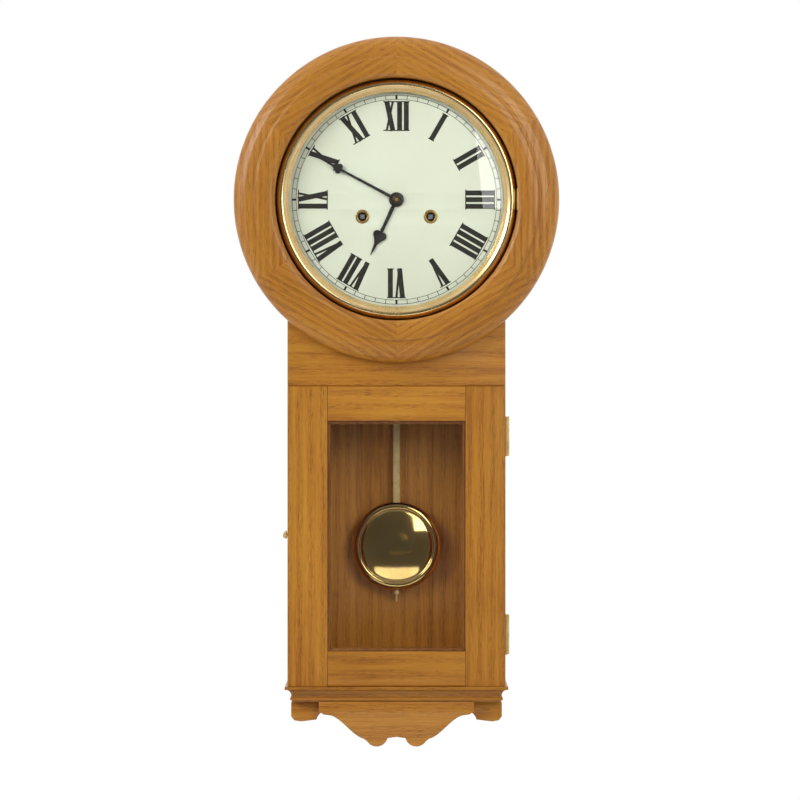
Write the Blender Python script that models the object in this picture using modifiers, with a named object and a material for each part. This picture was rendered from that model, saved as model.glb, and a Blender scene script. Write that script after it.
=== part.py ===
"""A round-headed drop wall clock: oak case, glazed doors, and a time-and-strike pendulum movement.

All sizes below are in millimetres. X is to the right as the clock is looked at, Y runs into the
wall and Z is up. The origin is on the back board's rear face, level with the centre of the dial.
"""

from math import acos, atan2, cos, degrees, hypot, pi, radians, sin, sqrt

import bmesh
import bpy
from mathutils import Matrix, Vector

MM = 0.001
FIT = 0.3  # gap between neighbouring pieces

# Case
HALF_WIDTH = 120.7
SIDE_THICKNESS = 12.0
BACK_THICKNESS = 8.0
CARCASS_DEPTH = 90.0
CASE_TOP = 128.0
DOOR_TOP = -206.5
DOOR_BOTTOM = -538.5
BOARD_THICKNESS = 14.0
HEAD_BOARD_FRONT = -(CARCASS_DEPTH + FIT + BOARD_THICKNESS)
HEAD_BOARD_HOLE = 103.0
INNER_HALF = HALF_WIDTH - SIDE_THICKNESS

# Head ring and dial
RING_OUTER = 180.0
RING_INNER = 134.0
RING_BACK = HEAD_BOARD_FRONT - FIT
RING_STEPS = 48
DIAL_RADIUS = 128.0
DIAL_BACK = HEAD_BOARD_FRONT - FIT
DIAL_FRONT = DIAL_BACK - 1.0
WINDING_X = 37.75
WINDING_Z = -18.8
WINDING_HOLE = 6.5

# Trunk door
DOOR_THICKNESS = 16.0
DOOR_BACK = -(CARCASS_DEPTH + FIT)
DOOR_FRONT = DOOR_BACK - DOOR_THICKNESS
OPENING_HALF = 76.5
OPENING_TOP = -245.0
OPENING_BOTTOM = -500.0
GLASS_LAP = 5.5

# Hinges and hook
DOOR_HINGE_X = HALF_WIDTH + 2.5
DOOR_HINGE_Y = -(CARCASS_DEPTH + FIT / 2)
DOOR_HINGE_HEIGHTS = {"upper": -262.0, "lower": -482.0}
BEZEL_HINGE_X = RING_INNER + 0.9
BEZEL_HINGE_Y = -121.5
HOOK_Z = -372.0
HOOK_PIVOT_Y = -70.0
HOOK_PIN_Y = -98.0

# Foot
MOULDING_TOP = DOOR_BOTTOM - FIT
MOULDING_BOTTOM = -555.7
FOOT_TOP = MOULDING_BOTTOM - FIT

# Movement frame
BACK_PLATE = (-35.0, -33.0)  # front and rear faces
FRONT_PLATE = (-77.0, -75.0)
PLATE_HALF_WIDTH = 64.0
PLATE_TOP = 54.0
PLATE_BOTTOM = -50.0
PILLARS = ((-57.0, 47.0), (57.0, 47.0), (-57.0, -44.0), (57.0, -44.0))
PIVOT_RADIUS = 0.8
PIVOT_HOLE = 1.0

# Arbor centres, as (x, z)
TIME_MAIN = (WINDING_X, WINDING_Z)
STRIKE_MAIN = (-WINDING_X, WINDING_Z)
CENTRE = (0.0, 0.0)
ESCAPE = (0.0, 24.0)
VERGE = (0.0, 44.0)
PIN_WHEEL = (-33.0, 7.78)
HAMMER = (-58.0, 6.0)

# Gears: teeth of the wheel, leaves of the pinion that it drives, module
MAIN_GEAR = (54, 6, 0.9)
SECOND_GEAR = (45, 6, 0.9)
CENTRE_GEAR = (60, 6, 0.65)
THIRD_GEAR = (42, 6, 0.65)
PIN_GEAR = (48, 6, 0.7)
WARNING_GEAR = (42, 6, 0.6)
MINUTE_GEAR = (36, 12, 0.65)
HOUR_GEAR = (40, 10, 0.624)
WHEEL_THICKNESS = 1.4

# Layers between the plates, as the front face of each wheel
MAIN_LAYER = -59.8
SECOND_LAYER = -65.4
CENTRE_LAYER = -51.4
THIRD_LAYER = -43.4
ESCAPE_LAYER = -38.3
WARNING_LAYER = -55.4
MINUTE_LAYER = -80.9
HOUR_LAYER = -84.6
RATCHET = (-62.5, -60.9)

# Escapement
ESCAPE_TEETH = 40
ESCAPE_TIP = 13.5
ESCAPE_ROOT = 11.4
PALLET_CLEARANCE = 0.35
PALLET_SPAN_TEETH = 10.5

# Winding ratchets
RATCHET_TEETH = 12
RATCHET_TIP = 7.7
RATCHET_ROOT = 6.2
CLICK_RADIUS = 14.0
NOSE_RADIUS = 7.0
NOSE_ANGLE = 40.0
WINDING_ARBOR = 3.0
WINDING_SQUARE = 2.5

# Hands
HOUR_HAND = (-107.5, -106.8)
MINUTE_HAND = (-109.0, -108.3)
HOUR_HAND_ANGLE = 205.0  # clockwise from twelve
MINUTE_HAND_ANGLE = 298.2
HOUR_HAND_LENGTH = 68.0
MINUTE_HAND_LENGTH = 105.0

# Pendulum
PENDULUM_Y = -23.0
BOB_Z = -386.6
BOB_RADIUS = 50.0
BOB_THICKNESS = 16.0
ROD_HALF_WIDTH = 3.5
ROD_TOP = 33.5
ROD_END = -449.0

# Gong
GONG = (-66.0, -95.0)
GONG_RADIUS = 33.0
GONG_Y = -16.0


# ---------------------------------------------------------------- scene and materials


def clear_scene():
    for old in list(bpy.data.objects):
        bpy.data.objects.remove(old)


def new_collection(name):
    collection = bpy.data.collections.new(name)
    bpy.context.scene.collection.children.link(collection)
    return collection


def material(name, colour, roughness, metallic=0.0, transmission=0.0):
    made = bpy.data.materials.new(name)
    made.use_nodes = True
    shader = made.node_tree.nodes["Principled BSDF"]
    shader.inputs["Base Color"].default_value = (*colour, 1.0)
    shader.inputs["Roughness"].default_value = roughness
    shader.inputs["Metallic"].default_value = metallic
    shader.inputs["Transmission Weight"].default_value = transmission
    made.diffuse_color = (*colour, 1.0)
    return made


def oak(name):
    return material(name + "_oak", (0.47, 0.20, 0.05), 0.35)


def brass(name):
    return material(name + "_brass", (0.72, 0.50, 0.18), 0.28, metallic=1.0)


def steel(name):
    return material(name + "_steel", (0.36, 0.37, 0.39), 0.3, metallic=1.0)


def glass(name):
    return material(name + "_glass", (1.0, 1.0, 1.0), 0.02, transmission=1.0)


def white_enamel(name):
    return material(name + "_enamel", (0.84, 0.82, 0.70), 0.45)


def black_enamel(name):
    return material(name + "_black", (0.012, 0.012, 0.014), 0.4)


# ---------------------------------------------------------------- shape helpers


def metres(*values):
    return Vector([value * MM for value in values])


def link_helper(obj):
    """A cutter, or a shape that is joined to another."""
    obj.hide_render = True
    obj.display_type = "WIRE"
    HELPERS.objects.link(obj)
    return obj


def mesh_object(name, bm):
    mesh = bpy.data.meshes.new(name)
    bm.to_mesh(mesh)
    bm.free()
    return link_helper(bpy.data.objects.new(name, mesh))


def box(name, low, high):
    size = metres(*(b - a for a, b in zip(low, high)))
    centre = metres(*((a + b) / 2 for a, b in zip(low, high)))
    bm = bmesh.new()
    bmesh.ops.create_cube(bm, size=1.0, matrix=Matrix.LocRotScale(centre, None, size))
    return mesh_object(name, bm)


def rod(name, start, end, radius, sides=16):
    """A straight round bar between two points."""
    start = metres(*start)
    end = metres(*end)
    turn = (end - start).to_track_quat("Z", "Y")
    bm = bmesh.new()
    bmesh.ops.create_cone(
        bm,
        cap_ends=True,
        segments=sides,
        radius1=radius * MM,
        radius2=radius * MM,
        depth=(end - start).length,
        matrix=Matrix.LocRotScale((start + end) / 2, turn, None),
    )
    return mesh_object(name, bm)


def turned(name, centre, profile, steps, closed=False):
    """A shape turned about a Y axis through centre (x, z), from (radius, y) points, rear to front."""
    mesh = bpy.data.meshes.new(name)
    points = [metres(radius, y, 0.0) for radius, y in profile]
    edges = [(i, i + 1) for i in range(len(points) - 1)]
    if closed:
        edges.append((len(points) - 1, 0))
    mesh.from_pydata(points, edges, [])
    obj = link_helper(bpy.data.objects.new(name, mesh))
    obj.location = metres(centre[0], 0.0, centre[1])
    screw = obj.modifiers.new("turn", "SCREW")
    screw.axis = "Y"
    screw.steps = steps
    screw.render_steps = steps
    screw.use_merge_vertices = True
    screw.merge_threshold = 1e-5
    return obj


def mesh_from_curve(curve_object):
    """The curve as a mesh object with its caps welded on."""
    bpy.context.view_layer.update()
    graph = bpy.context.evaluated_depsgraph_get()
    mesh = bpy.data.meshes.new_from_object(curve_object.evaluated_get(graph))
    bm = bmesh.new()
    bm.from_mesh(mesh)
    bmesh.ops.remove_doubles(bm, verts=bm.verts, dist=1e-6)
    bm.to_mesh(mesh)
    bm.free()
    obj = bpy.data.objects.new(curve_object.name, mesh)
    obj.matrix_world = curve_object.matrix_world.copy()
    name = curve_object.name
    bpy.data.objects.remove(curve_object)
    obj.name = name
    return link_helper(obj)


TURNS = {"XZ": (pi / 2, 0.0, 0.0), "YZ": (pi / 2, 0.0, pi / 2), "XY": (0.0, 0.0, 0.0)}
OFFSETS = {"XZ": (0.0, 1.0, 0.0), "YZ": (1.0, 0.0, 0.0), "XY": (0.0, 0.0, 1.0)}


def flat(name, outlines, near, far, plane="XZ", centre=(0.0, 0.0)):
    """A plate between two levels: the first outline is its edge and any others are holes."""
    curve = bpy.data.curves.new(name, "CURVE")
    curve.dimensions = "2D"
    curve.fill_mode = "BOTH"
    curve.extrude = abs(far - near) / 2 * MM
    for outline in outlines:
        spline = curve.splines.new("POLY")
        spline.points.add(len(outline) - 1)
        spline.use_cyclic_u = True
        for point, (across, up) in zip(spline.points, outline):
            point.co = (*metres(across + centre[0], up + centre[1]), 0.0, 1.0)
    obj = bpy.data.objects.new(name, curve)
    obj.rotation_euler = TURNS[plane]
    obj.location = Vector(OFFSETS[plane]) * (near + far) / 2 * MM
    bpy.context.scene.collection.objects.link(obj)
    return mesh_from_curve(obj)


def wire(name, points, radius, resolution=2):
    """A round wire through a list of (x, y, z) points."""
    curve = bpy.data.curves.new(name, "CURVE")
    curve.dimensions = "3D"
    curve.bevel_depth = radius * MM
    curve.bevel_resolution = resolution
    curve.use_fill_caps = True
    spline = curve.splines.new("POLY")
    spline.points.add(len(points) - 1)
    for point, place in zip(spline.points, points):
        point.co = (*metres(*place), 1.0)
    obj = bpy.data.objects.new(name, curve)
    bpy.context.scene.collection.objects.link(obj)
    return mesh_from_curve(obj)


def boolean(obj, other, operation):
    modifier = obj.modifiers.new(operation.lower() + "_" + other.name, "BOOLEAN")
    modifier.operation = operation
    modifier.object = other


def unite(obj, *others):
    for other in others:
        boolean(obj, other, "UNION")
    return obj


def cut(obj, *others):
    for other in others:
        boolean(obj, other, "DIFFERENCE")
    return obj


def bevel(obj, width, segments=2):
    modifier = obj.modifiers.new("rounded_edges", "BEVEL")
    modifier.width = width * MM
    modifier.segments = segments
    modifier.limit_method = "ANGLE"
    return obj


def smooth(obj):
    obj.data.shade_smooth()
    obj.data.set_sharp_from_angle(angle=radians(35))
    return obj


def finish(obj, name, look, pivot=None):
    """Makes a shape one of the clock's pieces: its name, its material and the pivot that it turns on."""
    HELPERS.objects.unlink(obj)
    CLOCK.objects.link(obj)
    obj.name = name
    obj.hide_render = False
    obj.display_type = "TEXTURED"
    obj.data.materials.clear()
    obj.data.materials.append(look(name))
    if pivot:
        obj.parent = pivot
        obj.matrix_parent_inverse = Matrix.Translation(-PIVOTS[pivot.name])
    return obj


def pivot_at(name, x, y, z, parent=None):
    """An empty on a joint's axis, which the moving pieces are parented to."""
    made = bpy.data.objects.new(name, None)
    made.empty_display_size = 0.01
    CLOCK.objects.link(made)
    place = metres(x, y, z)
    PIVOTS[name] = place
    made.location = place - PIVOTS[parent.name] if parent else place
    made.parent = parent
    return made


# ---------------------------------------------------------------- outlines


def circle(radius, count, centre=(0.0, 0.0)):
    return [
        (centre[0] + radius * cos(2 * pi * i / count), centre[1] + radius * sin(2 * pi * i / count))
        for i in range(count)
    ]


def arc(centre, radius, start, end, count):
    """Points along an arc, with its angles in degrees anticlockwise from +X."""
    angles = [radians(start + (end - start) * i / (count - 1)) for i in range(count)]
    return [(centre[0] + radius * cos(a), centre[1] + radius * sin(a)) for a in angles]


def rectangle(left, bottom, right, top):
    return [(left, bottom), (right, bottom), (right, top), (left, top)]


def mirrored(points):
    return [(-x, z) for x, z in reversed(points)]


def turned_clockwise(points, degrees):
    turn = radians(degrees)
    return [(x * cos(turn) + z * sin(turn), z * cos(turn) - x * sin(turn)) for x, z in points]


def toothed(teeth, tip, root, tip_share, root_share, phase):
    """Teeth with straight flanks; a share is half a tooth's width over the pitch, and 0 is a point."""
    pitch = 2 * pi / teeth
    tips = [(tip, share) for share in sorted({-tip_share, tip_share})]
    corners = [(root, -root_share), *tips, (root, root_share)]
    points = []
    for tooth in range(teeth):
        for radius, share in corners:
            angle = phase + (tooth + share) * pitch
            points.append((radius * cos(angle), radius * sin(angle)))
    return points


def wheel_outline(teeth, module, phase):
    radius = teeth * module / 2
    return toothed(teeth, radius + 0.75 * module, radius - 1.2 * module, 0.0, 0.26, phase)


def pinion_outline(leaves, module, phase):
    radius = leaves * module / 2
    return toothed(leaves, radius + 0.5 * module, radius - 1.3 * module, 0.08, 0.2, phase)


def direction(start, end):
    return atan2(end[1] - start[1], end[0] - start[0])


def gear_distance(gear):
    wheel, pinion, module = gear
    return (wheel + pinion) * module / 2


def arbor_between(first, first_distance, second, second_distance, side):
    """The point at two distances from two centres, on the left (side 1) or right (side -1) of the line."""
    gap = hypot(second[0] - first[0], second[1] - first[1])
    along = (first_distance**2 - second_distance**2 + gap**2) / (2 * gap)
    across = sqrt(first_distance**2 - along**2) * side
    unit = ((second[0] - first[0]) / gap, (second[1] - first[1]) / gap)
    return (
        first[0] + along * unit[0] - across * unit[1],
        first[1] + along * unit[1] + across * unit[0],
    )


SECOND = arbor_between(TIME_MAIN, gear_distance(MAIN_GEAR), CENTRE, gear_distance(SECOND_GEAR), 1)
THIRD = arbor_between(CENTRE, gear_distance(CENTRE_GEAR), ESCAPE, gear_distance(THIRD_GEAR), -1)
WARNING = (PIN_WHEEL[0] + 10.0, PIN_WHEEL[1] + sqrt(gear_distance(PIN_GEAR) ** 2 - 10.0**2))
FLY = (WARNING[0] - 11.0, WARNING[1] + sqrt(gear_distance(WARNING_GEAR) ** 2 - 11.0**2))
MINUTE_STUD = (0.0, -gear_distance(MINUTE_GEAR))


# ---------------------------------------------------------------- case


def make_carcass():
    back = box("back", (-HALF_WIDTH, -BACK_THICKNESS, DOOR_BOTTOM), (HALF_WIDTH, 0.0, CASE_TOP))
    cut(back, box("hanger_window", (-12.0, -20.0, 84.0), (12.0, 5.0, 114.0)))
    finish(back, "back_board", oak)
    inner_back = -(BACK_THICKNESS + FIT)
    for side, sign in (("left", -1), ("right", 1)):
        edges = sorted((sign * INNER_HALF, sign * HALF_WIDTH))
        board = box(
            "side", (edges[0], -CARCASS_DEPTH, DOOR_BOTTOM), (edges[1], inner_back, CASE_TOP)
        )
        finish(board, "case_side_" + side, oak)
    for name, low, high in (
        ("case_top", CASE_TOP - SIDE_THICKNESS, CASE_TOP),
        ("case_floor", DOOR_BOTTOM, DOOR_BOTTOM + SIDE_THICKNESS),
    ):
        across = INNER_HALF - FIT
        board = box(name, (-across, -CARCASS_DEPTH, low), (across, inner_back, high))
        finish(board, name, oak)


def make_head():
    board = flat(
        "board",
        [
            rectangle(-HALF_WIDTH, DOOR_TOP + FIT, HALF_WIDTH, CASE_TOP),
            circle(HEAD_BOARD_HOLE, 48),
        ],
        HEAD_BOARD_FRONT,
        -(CARCASS_DEPTH + FIT),
    )
    finish(board, "head_board", oak)
    profile = [
        (RING_OUTER - 2.0, RING_BACK),
        (RING_OUTER, RING_BACK - 3.0),
        (RING_OUTER, -112.5),
        (178.6, -117.0),
        (174.5, -121.5),
        (168.0, -125.0),
        (161.0, -126.6),
        (157.6, -126.8),
        (156.6, -129.2),
        (151.0, -130.0),
        (145.0, -130.2),
        (139.0, -129.6),
        (135.6, -128.0),
        (RING_INNER, -125.4),
        (RING_INNER, RING_BACK),
    ]
    ring = turned("ring", CENTRE, profile, RING_STEPS, closed=True)
    recess = box("recess", (130.0, -125.0, -14.0), (138.4, -90.0, 14.0))
    cut(ring, recess)
    finish(smooth(ring), "head_ring", oak)


def make_foot():
    moulding = box(
        "moulding", (-124.5, -114.0, MOULDING_BOTTOM), (124.5, -BACK_THICKNESS - FIT, MOULDING_TOP)
    )
    for vertex in moulding.data.vertices:
        if vertex.co.z < (MOULDING_TOP + MOULDING_BOTTOM) / 2 * MM:
            vertex.co.x *= 0.95
            if vertex.co.y < -50 * MM:
                vertex.co.y += 8.0 * MM
    finish(bevel(moulding, 2.5), "base_moulding", oak)

    ogee = []
    for i in range(8):
        share = i / 7
        fall = share * share * (3 - 2 * share)
        ogee.append((76.0 - 42.5 * share, -567.0 - 30.0 * fall))
    lobe = arc((22.0, -593.0), 12.5, -32, -165, 9)
    right = [(86.0, FOOT_TOP), (86.0, -563.0), (80.0, -566.6), *ogee[:-1], *lobe]
    outline = [*right, (0.0, -594.6), *mirrored(right)]
    finish(flat("apron", [outline], -106.0, -94.0), "bottom_apron", oak)

    cove = arc((77.0, -579.0), 12.0, 12, 90, 6)
    corner = [(117.0, FOOT_TOP), (117.0, -573.0), (113.5, -577.4), (106.0, -578.6)]
    bracket = [(77.0, FOOT_TOP), *corner, *cove]
    for side, points in (("left", mirrored(bracket)), ("right", bracket)):
        piece = flat("bracket", [points], -93.7, -BACK_THICKNESS - FIT)
        finish(piece, "corner_bracket_" + side, oak)


def make_hanger():
    key_hole = [
        *arc((0.0, 92.0), 4.5, 124, 416, 12),
        *arc((0.0, 104.0), 2.5, 0, 180, 7),
    ]
    plate = flat("plate", [rectangle(-20.0, 75.0, 20.0, 115.4), key_hole], -10.3, -8.3)
    finish(plate, "hanger_plate", steel)


def make_dial():
    plate = flat(
        "dial",
        [
            circle(DIAL_RADIUS, 48),
            circle(WINDING_HOLE, 16),
            circle(WINDING_HOLE, 16, TIME_MAIN),
            circle(WINDING_HOLE, 16, STRIKE_MAIN),
        ],
        DIAL_FRONT,
        DIAL_BACK,
    )
    finish(plate, "dial_plate", white_enamel)


# ---------------------------------------------------------------- doors


def make_trunk_door():
    pivot = pivot_at("trunk_door_pivot", DOOR_HINGE_X, DOOR_HINGE_Y, 0.0)
    lap = OPENING_HALF + GLASS_LAP
    rebate = box(
        "rebate",
        (-lap - FIT, DOOR_BACK - 5.0, OPENING_BOTTOM - GLASS_LAP - FIT),
        (lap + FIT, DOOR_BACK + 5.0, OPENING_TOP + GLASS_LAP + FIT),
    )
    for side, sign in (("left", -1), ("right", 1)):
        edges = sorted((sign * OPENING_HALF, sign * HALF_WIDTH))
        stile = box("stile", (edges[0], DOOR_FRONT, DOOR_BOTTOM), (edges[1], DOOR_BACK, DOOR_TOP))
        finish(cut(stile, rebate), "door_stile_" + side, oak, pivot)
    for name, low, high in (
        ("door_top_rail", OPENING_TOP, DOOR_TOP),
        ("door_bottom_rail", DOOR_BOTTOM, OPENING_BOTTOM),
    ):
        across = OPENING_HALF - FIT
        rail = box(name, (-across, DOOR_FRONT, low), (across, DOOR_BACK, high))
        finish(cut(rail, rebate), name, oak, pivot)
    pane = box(
        "pane",
        (-lap, DOOR_BACK - 4.6, OPENING_BOTTOM - GLASS_LAP),
        (lap, DOOR_BACK - 2.2, OPENING_TOP + GLASS_LAP),
    )
    finish(pane, "door_glass", glass, pivot)
    for place, height in DOOR_HINGE_HEIGHTS.items():
        make_door_hinge(place, height, pivot)
    pin = rod("pin", (-HALF_WIDTH - FIT, HOOK_PIN_Y, HOOK_Z), (-125.0, HOOK_PIN_Y, HOOK_Z), 1.3, 12)
    head = rod("pin_head", (-124.6, HOOK_PIN_Y, HOOK_Z), (-125.8, HOOK_PIN_Y, HOOK_Z), 2.4, 16)
    finish(unite(pin, head), "door_hook_pin", brass, pivot)


def make_door_hinge(place, height, pivot):
    """A butt hinge on the clock's right side: the case's leaf carries the pin and the end knuckles."""
    x = DOOR_HINGE_X
    y = DOOR_HINGE_Y
    half = 22.0
    knuckle = 9.7
    barrel = 2.2
    face = HALF_WIDTH + FIT
    case_leaf = box(
        "leaf", (face, y + 2.6, height - half), (face + 1.2, y + 15.0, height + half)
    )
    case_parts = [rod("hinge_pin", (x, y, height - half), (x, y, height + half), 1.0, 10)]
    for low, high in ((-half, -knuckle - FIT), (knuckle + FIT, half)):
        case_parts.append(rod("knuckle", (x, y, height + low), (x, y, height + high), barrel, 14))
        case_parts.append(
            box("tongue", (face, y + 0.5, height + low), (face + 1.2, y + 3.0, height + high))
        )
    finish(unite(case_leaf, *case_parts), f"door_hinge_{place}_case_leaf", brass)

    door_leaf = box(
        "leaf", (face, y - 14.0, height - half), (face + 1.2, y - 2.6, height + half)
    )
    middle = rod("knuckle", (x, y, height - knuckle), (x, y, height + knuckle), barrel, 14)
    tongue = box(
        "tongue", (face, y - 3.0, height - knuckle), (face + 1.2, y - 0.5, height + knuckle)
    )
    bore = rod("bore", (x, y, height - half), (x, y, height + half), 1.3, 10)
    door_leaf = cut(unite(door_leaf, middle, tongue), bore)
    finish(door_leaf, f"door_hinge_{place}_door_leaf", brass, pivot)


def make_hook():
    """The swing hook on the case's left side, which drops over the door's pin."""
    y = HOOK_PIVOT_Y
    screw = rod("screw", (-HALF_WIDTH - FIT, y, HOOK_Z), (-124.4, y, HOOK_Z), 1.6, 12)
    head = rod("head", (-124.1, y, HOOK_Z), (-125.4, y, HOOK_Z), 3.2, 16)
    finish(unite(screw, head), "hook_pivot_screw", brass)

    pivot = pivot_at("door_hook_pivot", -HALF_WIDTH, HOOK_PIVOT_Y, HOOK_Z)
    reach = HOOK_PIN_Y - HOOK_PIVOT_Y
    outline = [
        *arc((0.0, 0.0), 4.4, -140, 140, 12),
        (-10.0, 2.1),
        *arc((reach, 0.0), 4.6, 60, 200, 7),
        (reach - 4.0, -3.4),
        (reach - 2.0, -3.4),
        *arc((reach, 0.0), 1.7, 200, -20, 8),
        (reach + 2.6, -2.4),
        (-10.0, -2.1),
    ]
    hook = flat(
        "hook",
        [outline, circle(1.95, 14)],
        -123.8,
        -122.2,
        plane="YZ",
        centre=(HOOK_PIVOT_Y, HOOK_Z),
    )
    finish(hook, "door_hook", brass, pivot)


def make_bezel():
    pivot = pivot_at("bezel_pivot", BEZEL_HINGE_X, BEZEL_HINGE_Y, 0.0)
    profile = [
        (132.5, DIAL_FRONT - 0.6),
        (132.5, -113.0),
        (131.2, -117.0),
        (128.6, -119.4),
        (125.8, -119.6),
        (122.6, -117.4),
        (118.5, -113.0),
        (118.5, -111.0),
        (124.6, -111.0),
        (124.6, DIAL_FRONT - 0.6),
    ]
    ring = turned("bezel", CENTRE, profile, RING_STEPS, closed=True)
    finish(smooth(ring), "bezel_ring", brass, pivot)

    rim = 124.2
    rise = 8.0
    sphere = (rim * rim + rise * rise) / (2 * rise)
    radii = (rim, 105.0, 74.0, 38.0, 0.0)
    heights = [sqrt(sphere**2 - r * r) - (sphere - rise) for r in radii]
    rear = [(r, -107.6 - h) for r, h in zip(radii, heights)]
    front = [(r, -109.4 - h) for r, h in zip(radii, heights)]
    pane = turned("pane", CENTRE, [*reversed(rear), *front], 32)
    finish(smooth(pane), "bezel_glass", glass, pivot)
    make_bezel_hinge(pivot)


def make_bezel_hinge(pivot):
    """A small butt hinge in the head ring's recess."""
    x = BEZEL_HINGE_X
    y = BEZEL_HINGE_Y
    half = 12.0
    knuckle = 5.0
    barrel = 1.6
    case_leaf = box("leaf", (x + 1.9, -119.2, -half), (x + 3.1, -107.0, half))
    case_parts = [rod("hinge_pin", (x, y, -half), (x, y, half), 0.7, 10)]
    for low, high in ((-half, -knuckle - FIT), (knuckle + FIT, half)):
        case_parts.append(rod("knuckle", (x, y, low), (x, y, high), barrel, 12))
        case_parts.append(box("tongue", (x + 0.2, y + 0.4, low), (x + 3.1, -118.8, high)))
    finish(unite(case_leaf, *case_parts), "bezel_hinge_case_leaf", brass)

    bezel_leaf = box("leaf", (x - 2.1, -119.2, -half), (x - 1.2, -107.0, half))
    middle = rod("knuckle", (x, y, -knuckle), (x, y, knuckle), barrel, 12)
    tongue = box("tongue", (x - 2.1, y + 0.4, -knuckle), (x - 0.2, -118.8, knuckle))
    bore = rod("bore", (x, y, -half), (x, y, half), 0.95, 10)
    bezel_leaf = cut(unite(bezel_leaf, middle, tongue), bore)
    finish(bezel_leaf, "bezel_hinge_bezel_leaf", brass, pivot)


# ---------------------------------------------------------------- movement frame


def make_plates():
    outline = rectangle(-PLATE_HALF_WIDTH, PLATE_BOTTOM, PLATE_HALF_WIDTH, PLATE_TOP)
    arbors = (SECOND, CENTRE, THIRD, ESCAPE, PIN_WHEEL, WARNING, FLY)
    pivots = [circle(PIVOT_HOLE, 8, centre) for centre in arbors]
    winding = [circle(2.7, 12, centre) for centre in (TIME_MAIN, STRIKE_MAIN)]
    through = [circle(1.7, 10, centre) for centre in (VERGE, HAMMER)]
    back = flat("back", [outline, *pivots, *winding, *through], *BACK_PLATE)
    for number, (x, z) in enumerate(PILLARS):
        y_rear = -BACK_THICKNESS - FIT
        leg = rod(f"leg_{number}", (x, y_rear, z), (x, BACK_PLATE[1] - 1.0, z), 3.5, 12)
        pillar = rod(
            f"pillar_{number}",
            (x, BACK_PLATE[0] + 1.0, z),
            (x, FRONT_PLATE[1] + FIT, z),
            3.0,
            12,
        )
        stud = rod(f"stud_{number}", (x, -70.0, z), (x, FRONT_PLATE[0] - 3.0, z), 1.5, 10)
        unite(back, leg, pillar, stud)
    finish(back, "back_plate", brass)

    studs = [circle(1.8, 10, centre) for centre in PILLARS]
    front_pivots = [circle(PIVOT_HOLE, 8, centre) for centre in arbors if centre != CENTRE]
    front_pivots += [circle(PIVOT_HOLE, 8, centre) for centre in (VERGE, HAMMER)]
    centre_hole = circle(1.8, 12)
    front = flat("front", [outline, *front_pivots, centre_hole, *winding, *studs], *FRONT_PLATE)
    stud = rod(
        "minute_stud",
        (MINUTE_STUD[0], FRONT_PLATE[1] - 1.0, MINUTE_STUD[1]),
        (MINUTE_STUD[0], -87.0, MINUTE_STUD[1]),
        0.9,
        10,
    )
    finish(unite(front, stud), "front_plate", brass)


def make_suspension_post():
    post = box("post", (-5.0, BACK_PLATE[1] + FIT, 47.4), (5.0, -18.0, 53.4))
    slot = box("slot", (-0.7, -27.4, 40.0), (0.7, -18.6, 51.6))
    finish(cut(post, slot), "suspension_post", brass)


def spiral(inner, outer, turns, per_turn, start):
    count = int(turns * per_turn) + 1
    points = []
    for i in range(count):
        share = i / (count - 1)
        angle = radians(start) + 2 * pi * turns * share
        radius = inner + (outer - inner) * share
        points.append((radius * cos(angle), radius * sin(angle)))
    return points


def make_mainspring(name, centre, sign):
    """A flat spring coiled round the winding arbor."""
    inner = spiral(4.2, 18.0, 4.0, 12, 0)
    outer = spiral(5.0, 18.8, 4.0, 12, 0)
    outline = [(x * sign, z) for x, z in [*inner, *reversed(outer)]]
    finish(flat(name, [outline], -56.0, -38.0, centre=centre), name, steel)


def make_gong():
    coil = [
        (GONG[0] + x, GONG_Y, GONG[1] + z) for x, z in spiral(9.2, GONG_RADIUS, 3.0, 12, 90)
    ]
    finish(smooth(wire("coil", coil, 1.6)), "gong_coil", steel)
    base = rod("base", (GONG[0], -BACK_THICKNESS - FIT, GONG[1]), (GONG[0], -19.0, GONG[1]), 7.0, 20)
    finish(base, "gong_base", steel)


# ---------------------------------------------------------------- trains


def arbor_profile(rear, front, radius):
    """A plain arbor with thinner pivots that run in the plates."""
    return [
        (0.0, BACK_PLATE[1]),
        (PIVOT_RADIUS, BACK_PLATE[1]),
        (PIVOT_RADIUS, rear),
        (radius, rear),
        (radius, front),
        (PIVOT_RADIUS, front),
        (PIVOT_RADIUS, FRONT_PLATE[0]),
        (0.0, FRONT_PLATE[0]),
    ]


def arbor(centre, radius=1.0, rear=-36.0, front=-74.0):
    return turned("arbor", centre, arbor_profile(rear, front, radius), 10)


def wheel_disc(gear, centre, towards, layer, bore=None):
    """A wheel with a tooth on the line towards its pinion."""
    outlines = [wheel_outline(gear[0], gear[2], direction(centre, towards))]
    if bore:
        outlines.append(circle(bore, 16))
    return flat("wheel", outlines, layer, layer + WHEEL_THICKNESS, centre=centre)


def pinion(gear, centre, towards, front, rear, bore=None):
    """A pinion with a gap on the line towards its wheel."""
    outlines = [pinion_outline(gear[1], gear[2], direction(centre, towards) + pi / gear[1])]
    if bore:
        outlines.append(circle(bore, 12))
    return flat("pinion", outlines, front, rear, centre=centre)


def ratchet_outline(sign):
    """Saw teeth: each face is radial, and its back slopes down to the foot of the next face."""
    points = []
    for tooth in range(RATCHET_TEETH):
        face = radians(NOSE_ANGLE + 2.0) + 2 * pi * tooth / RATCHET_TEETH
        for radius in (RATCHET_ROOT, RATCHET_TIP):
            points.append((sign * radius * cos(face), radius * sin(face)))
    return points


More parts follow.
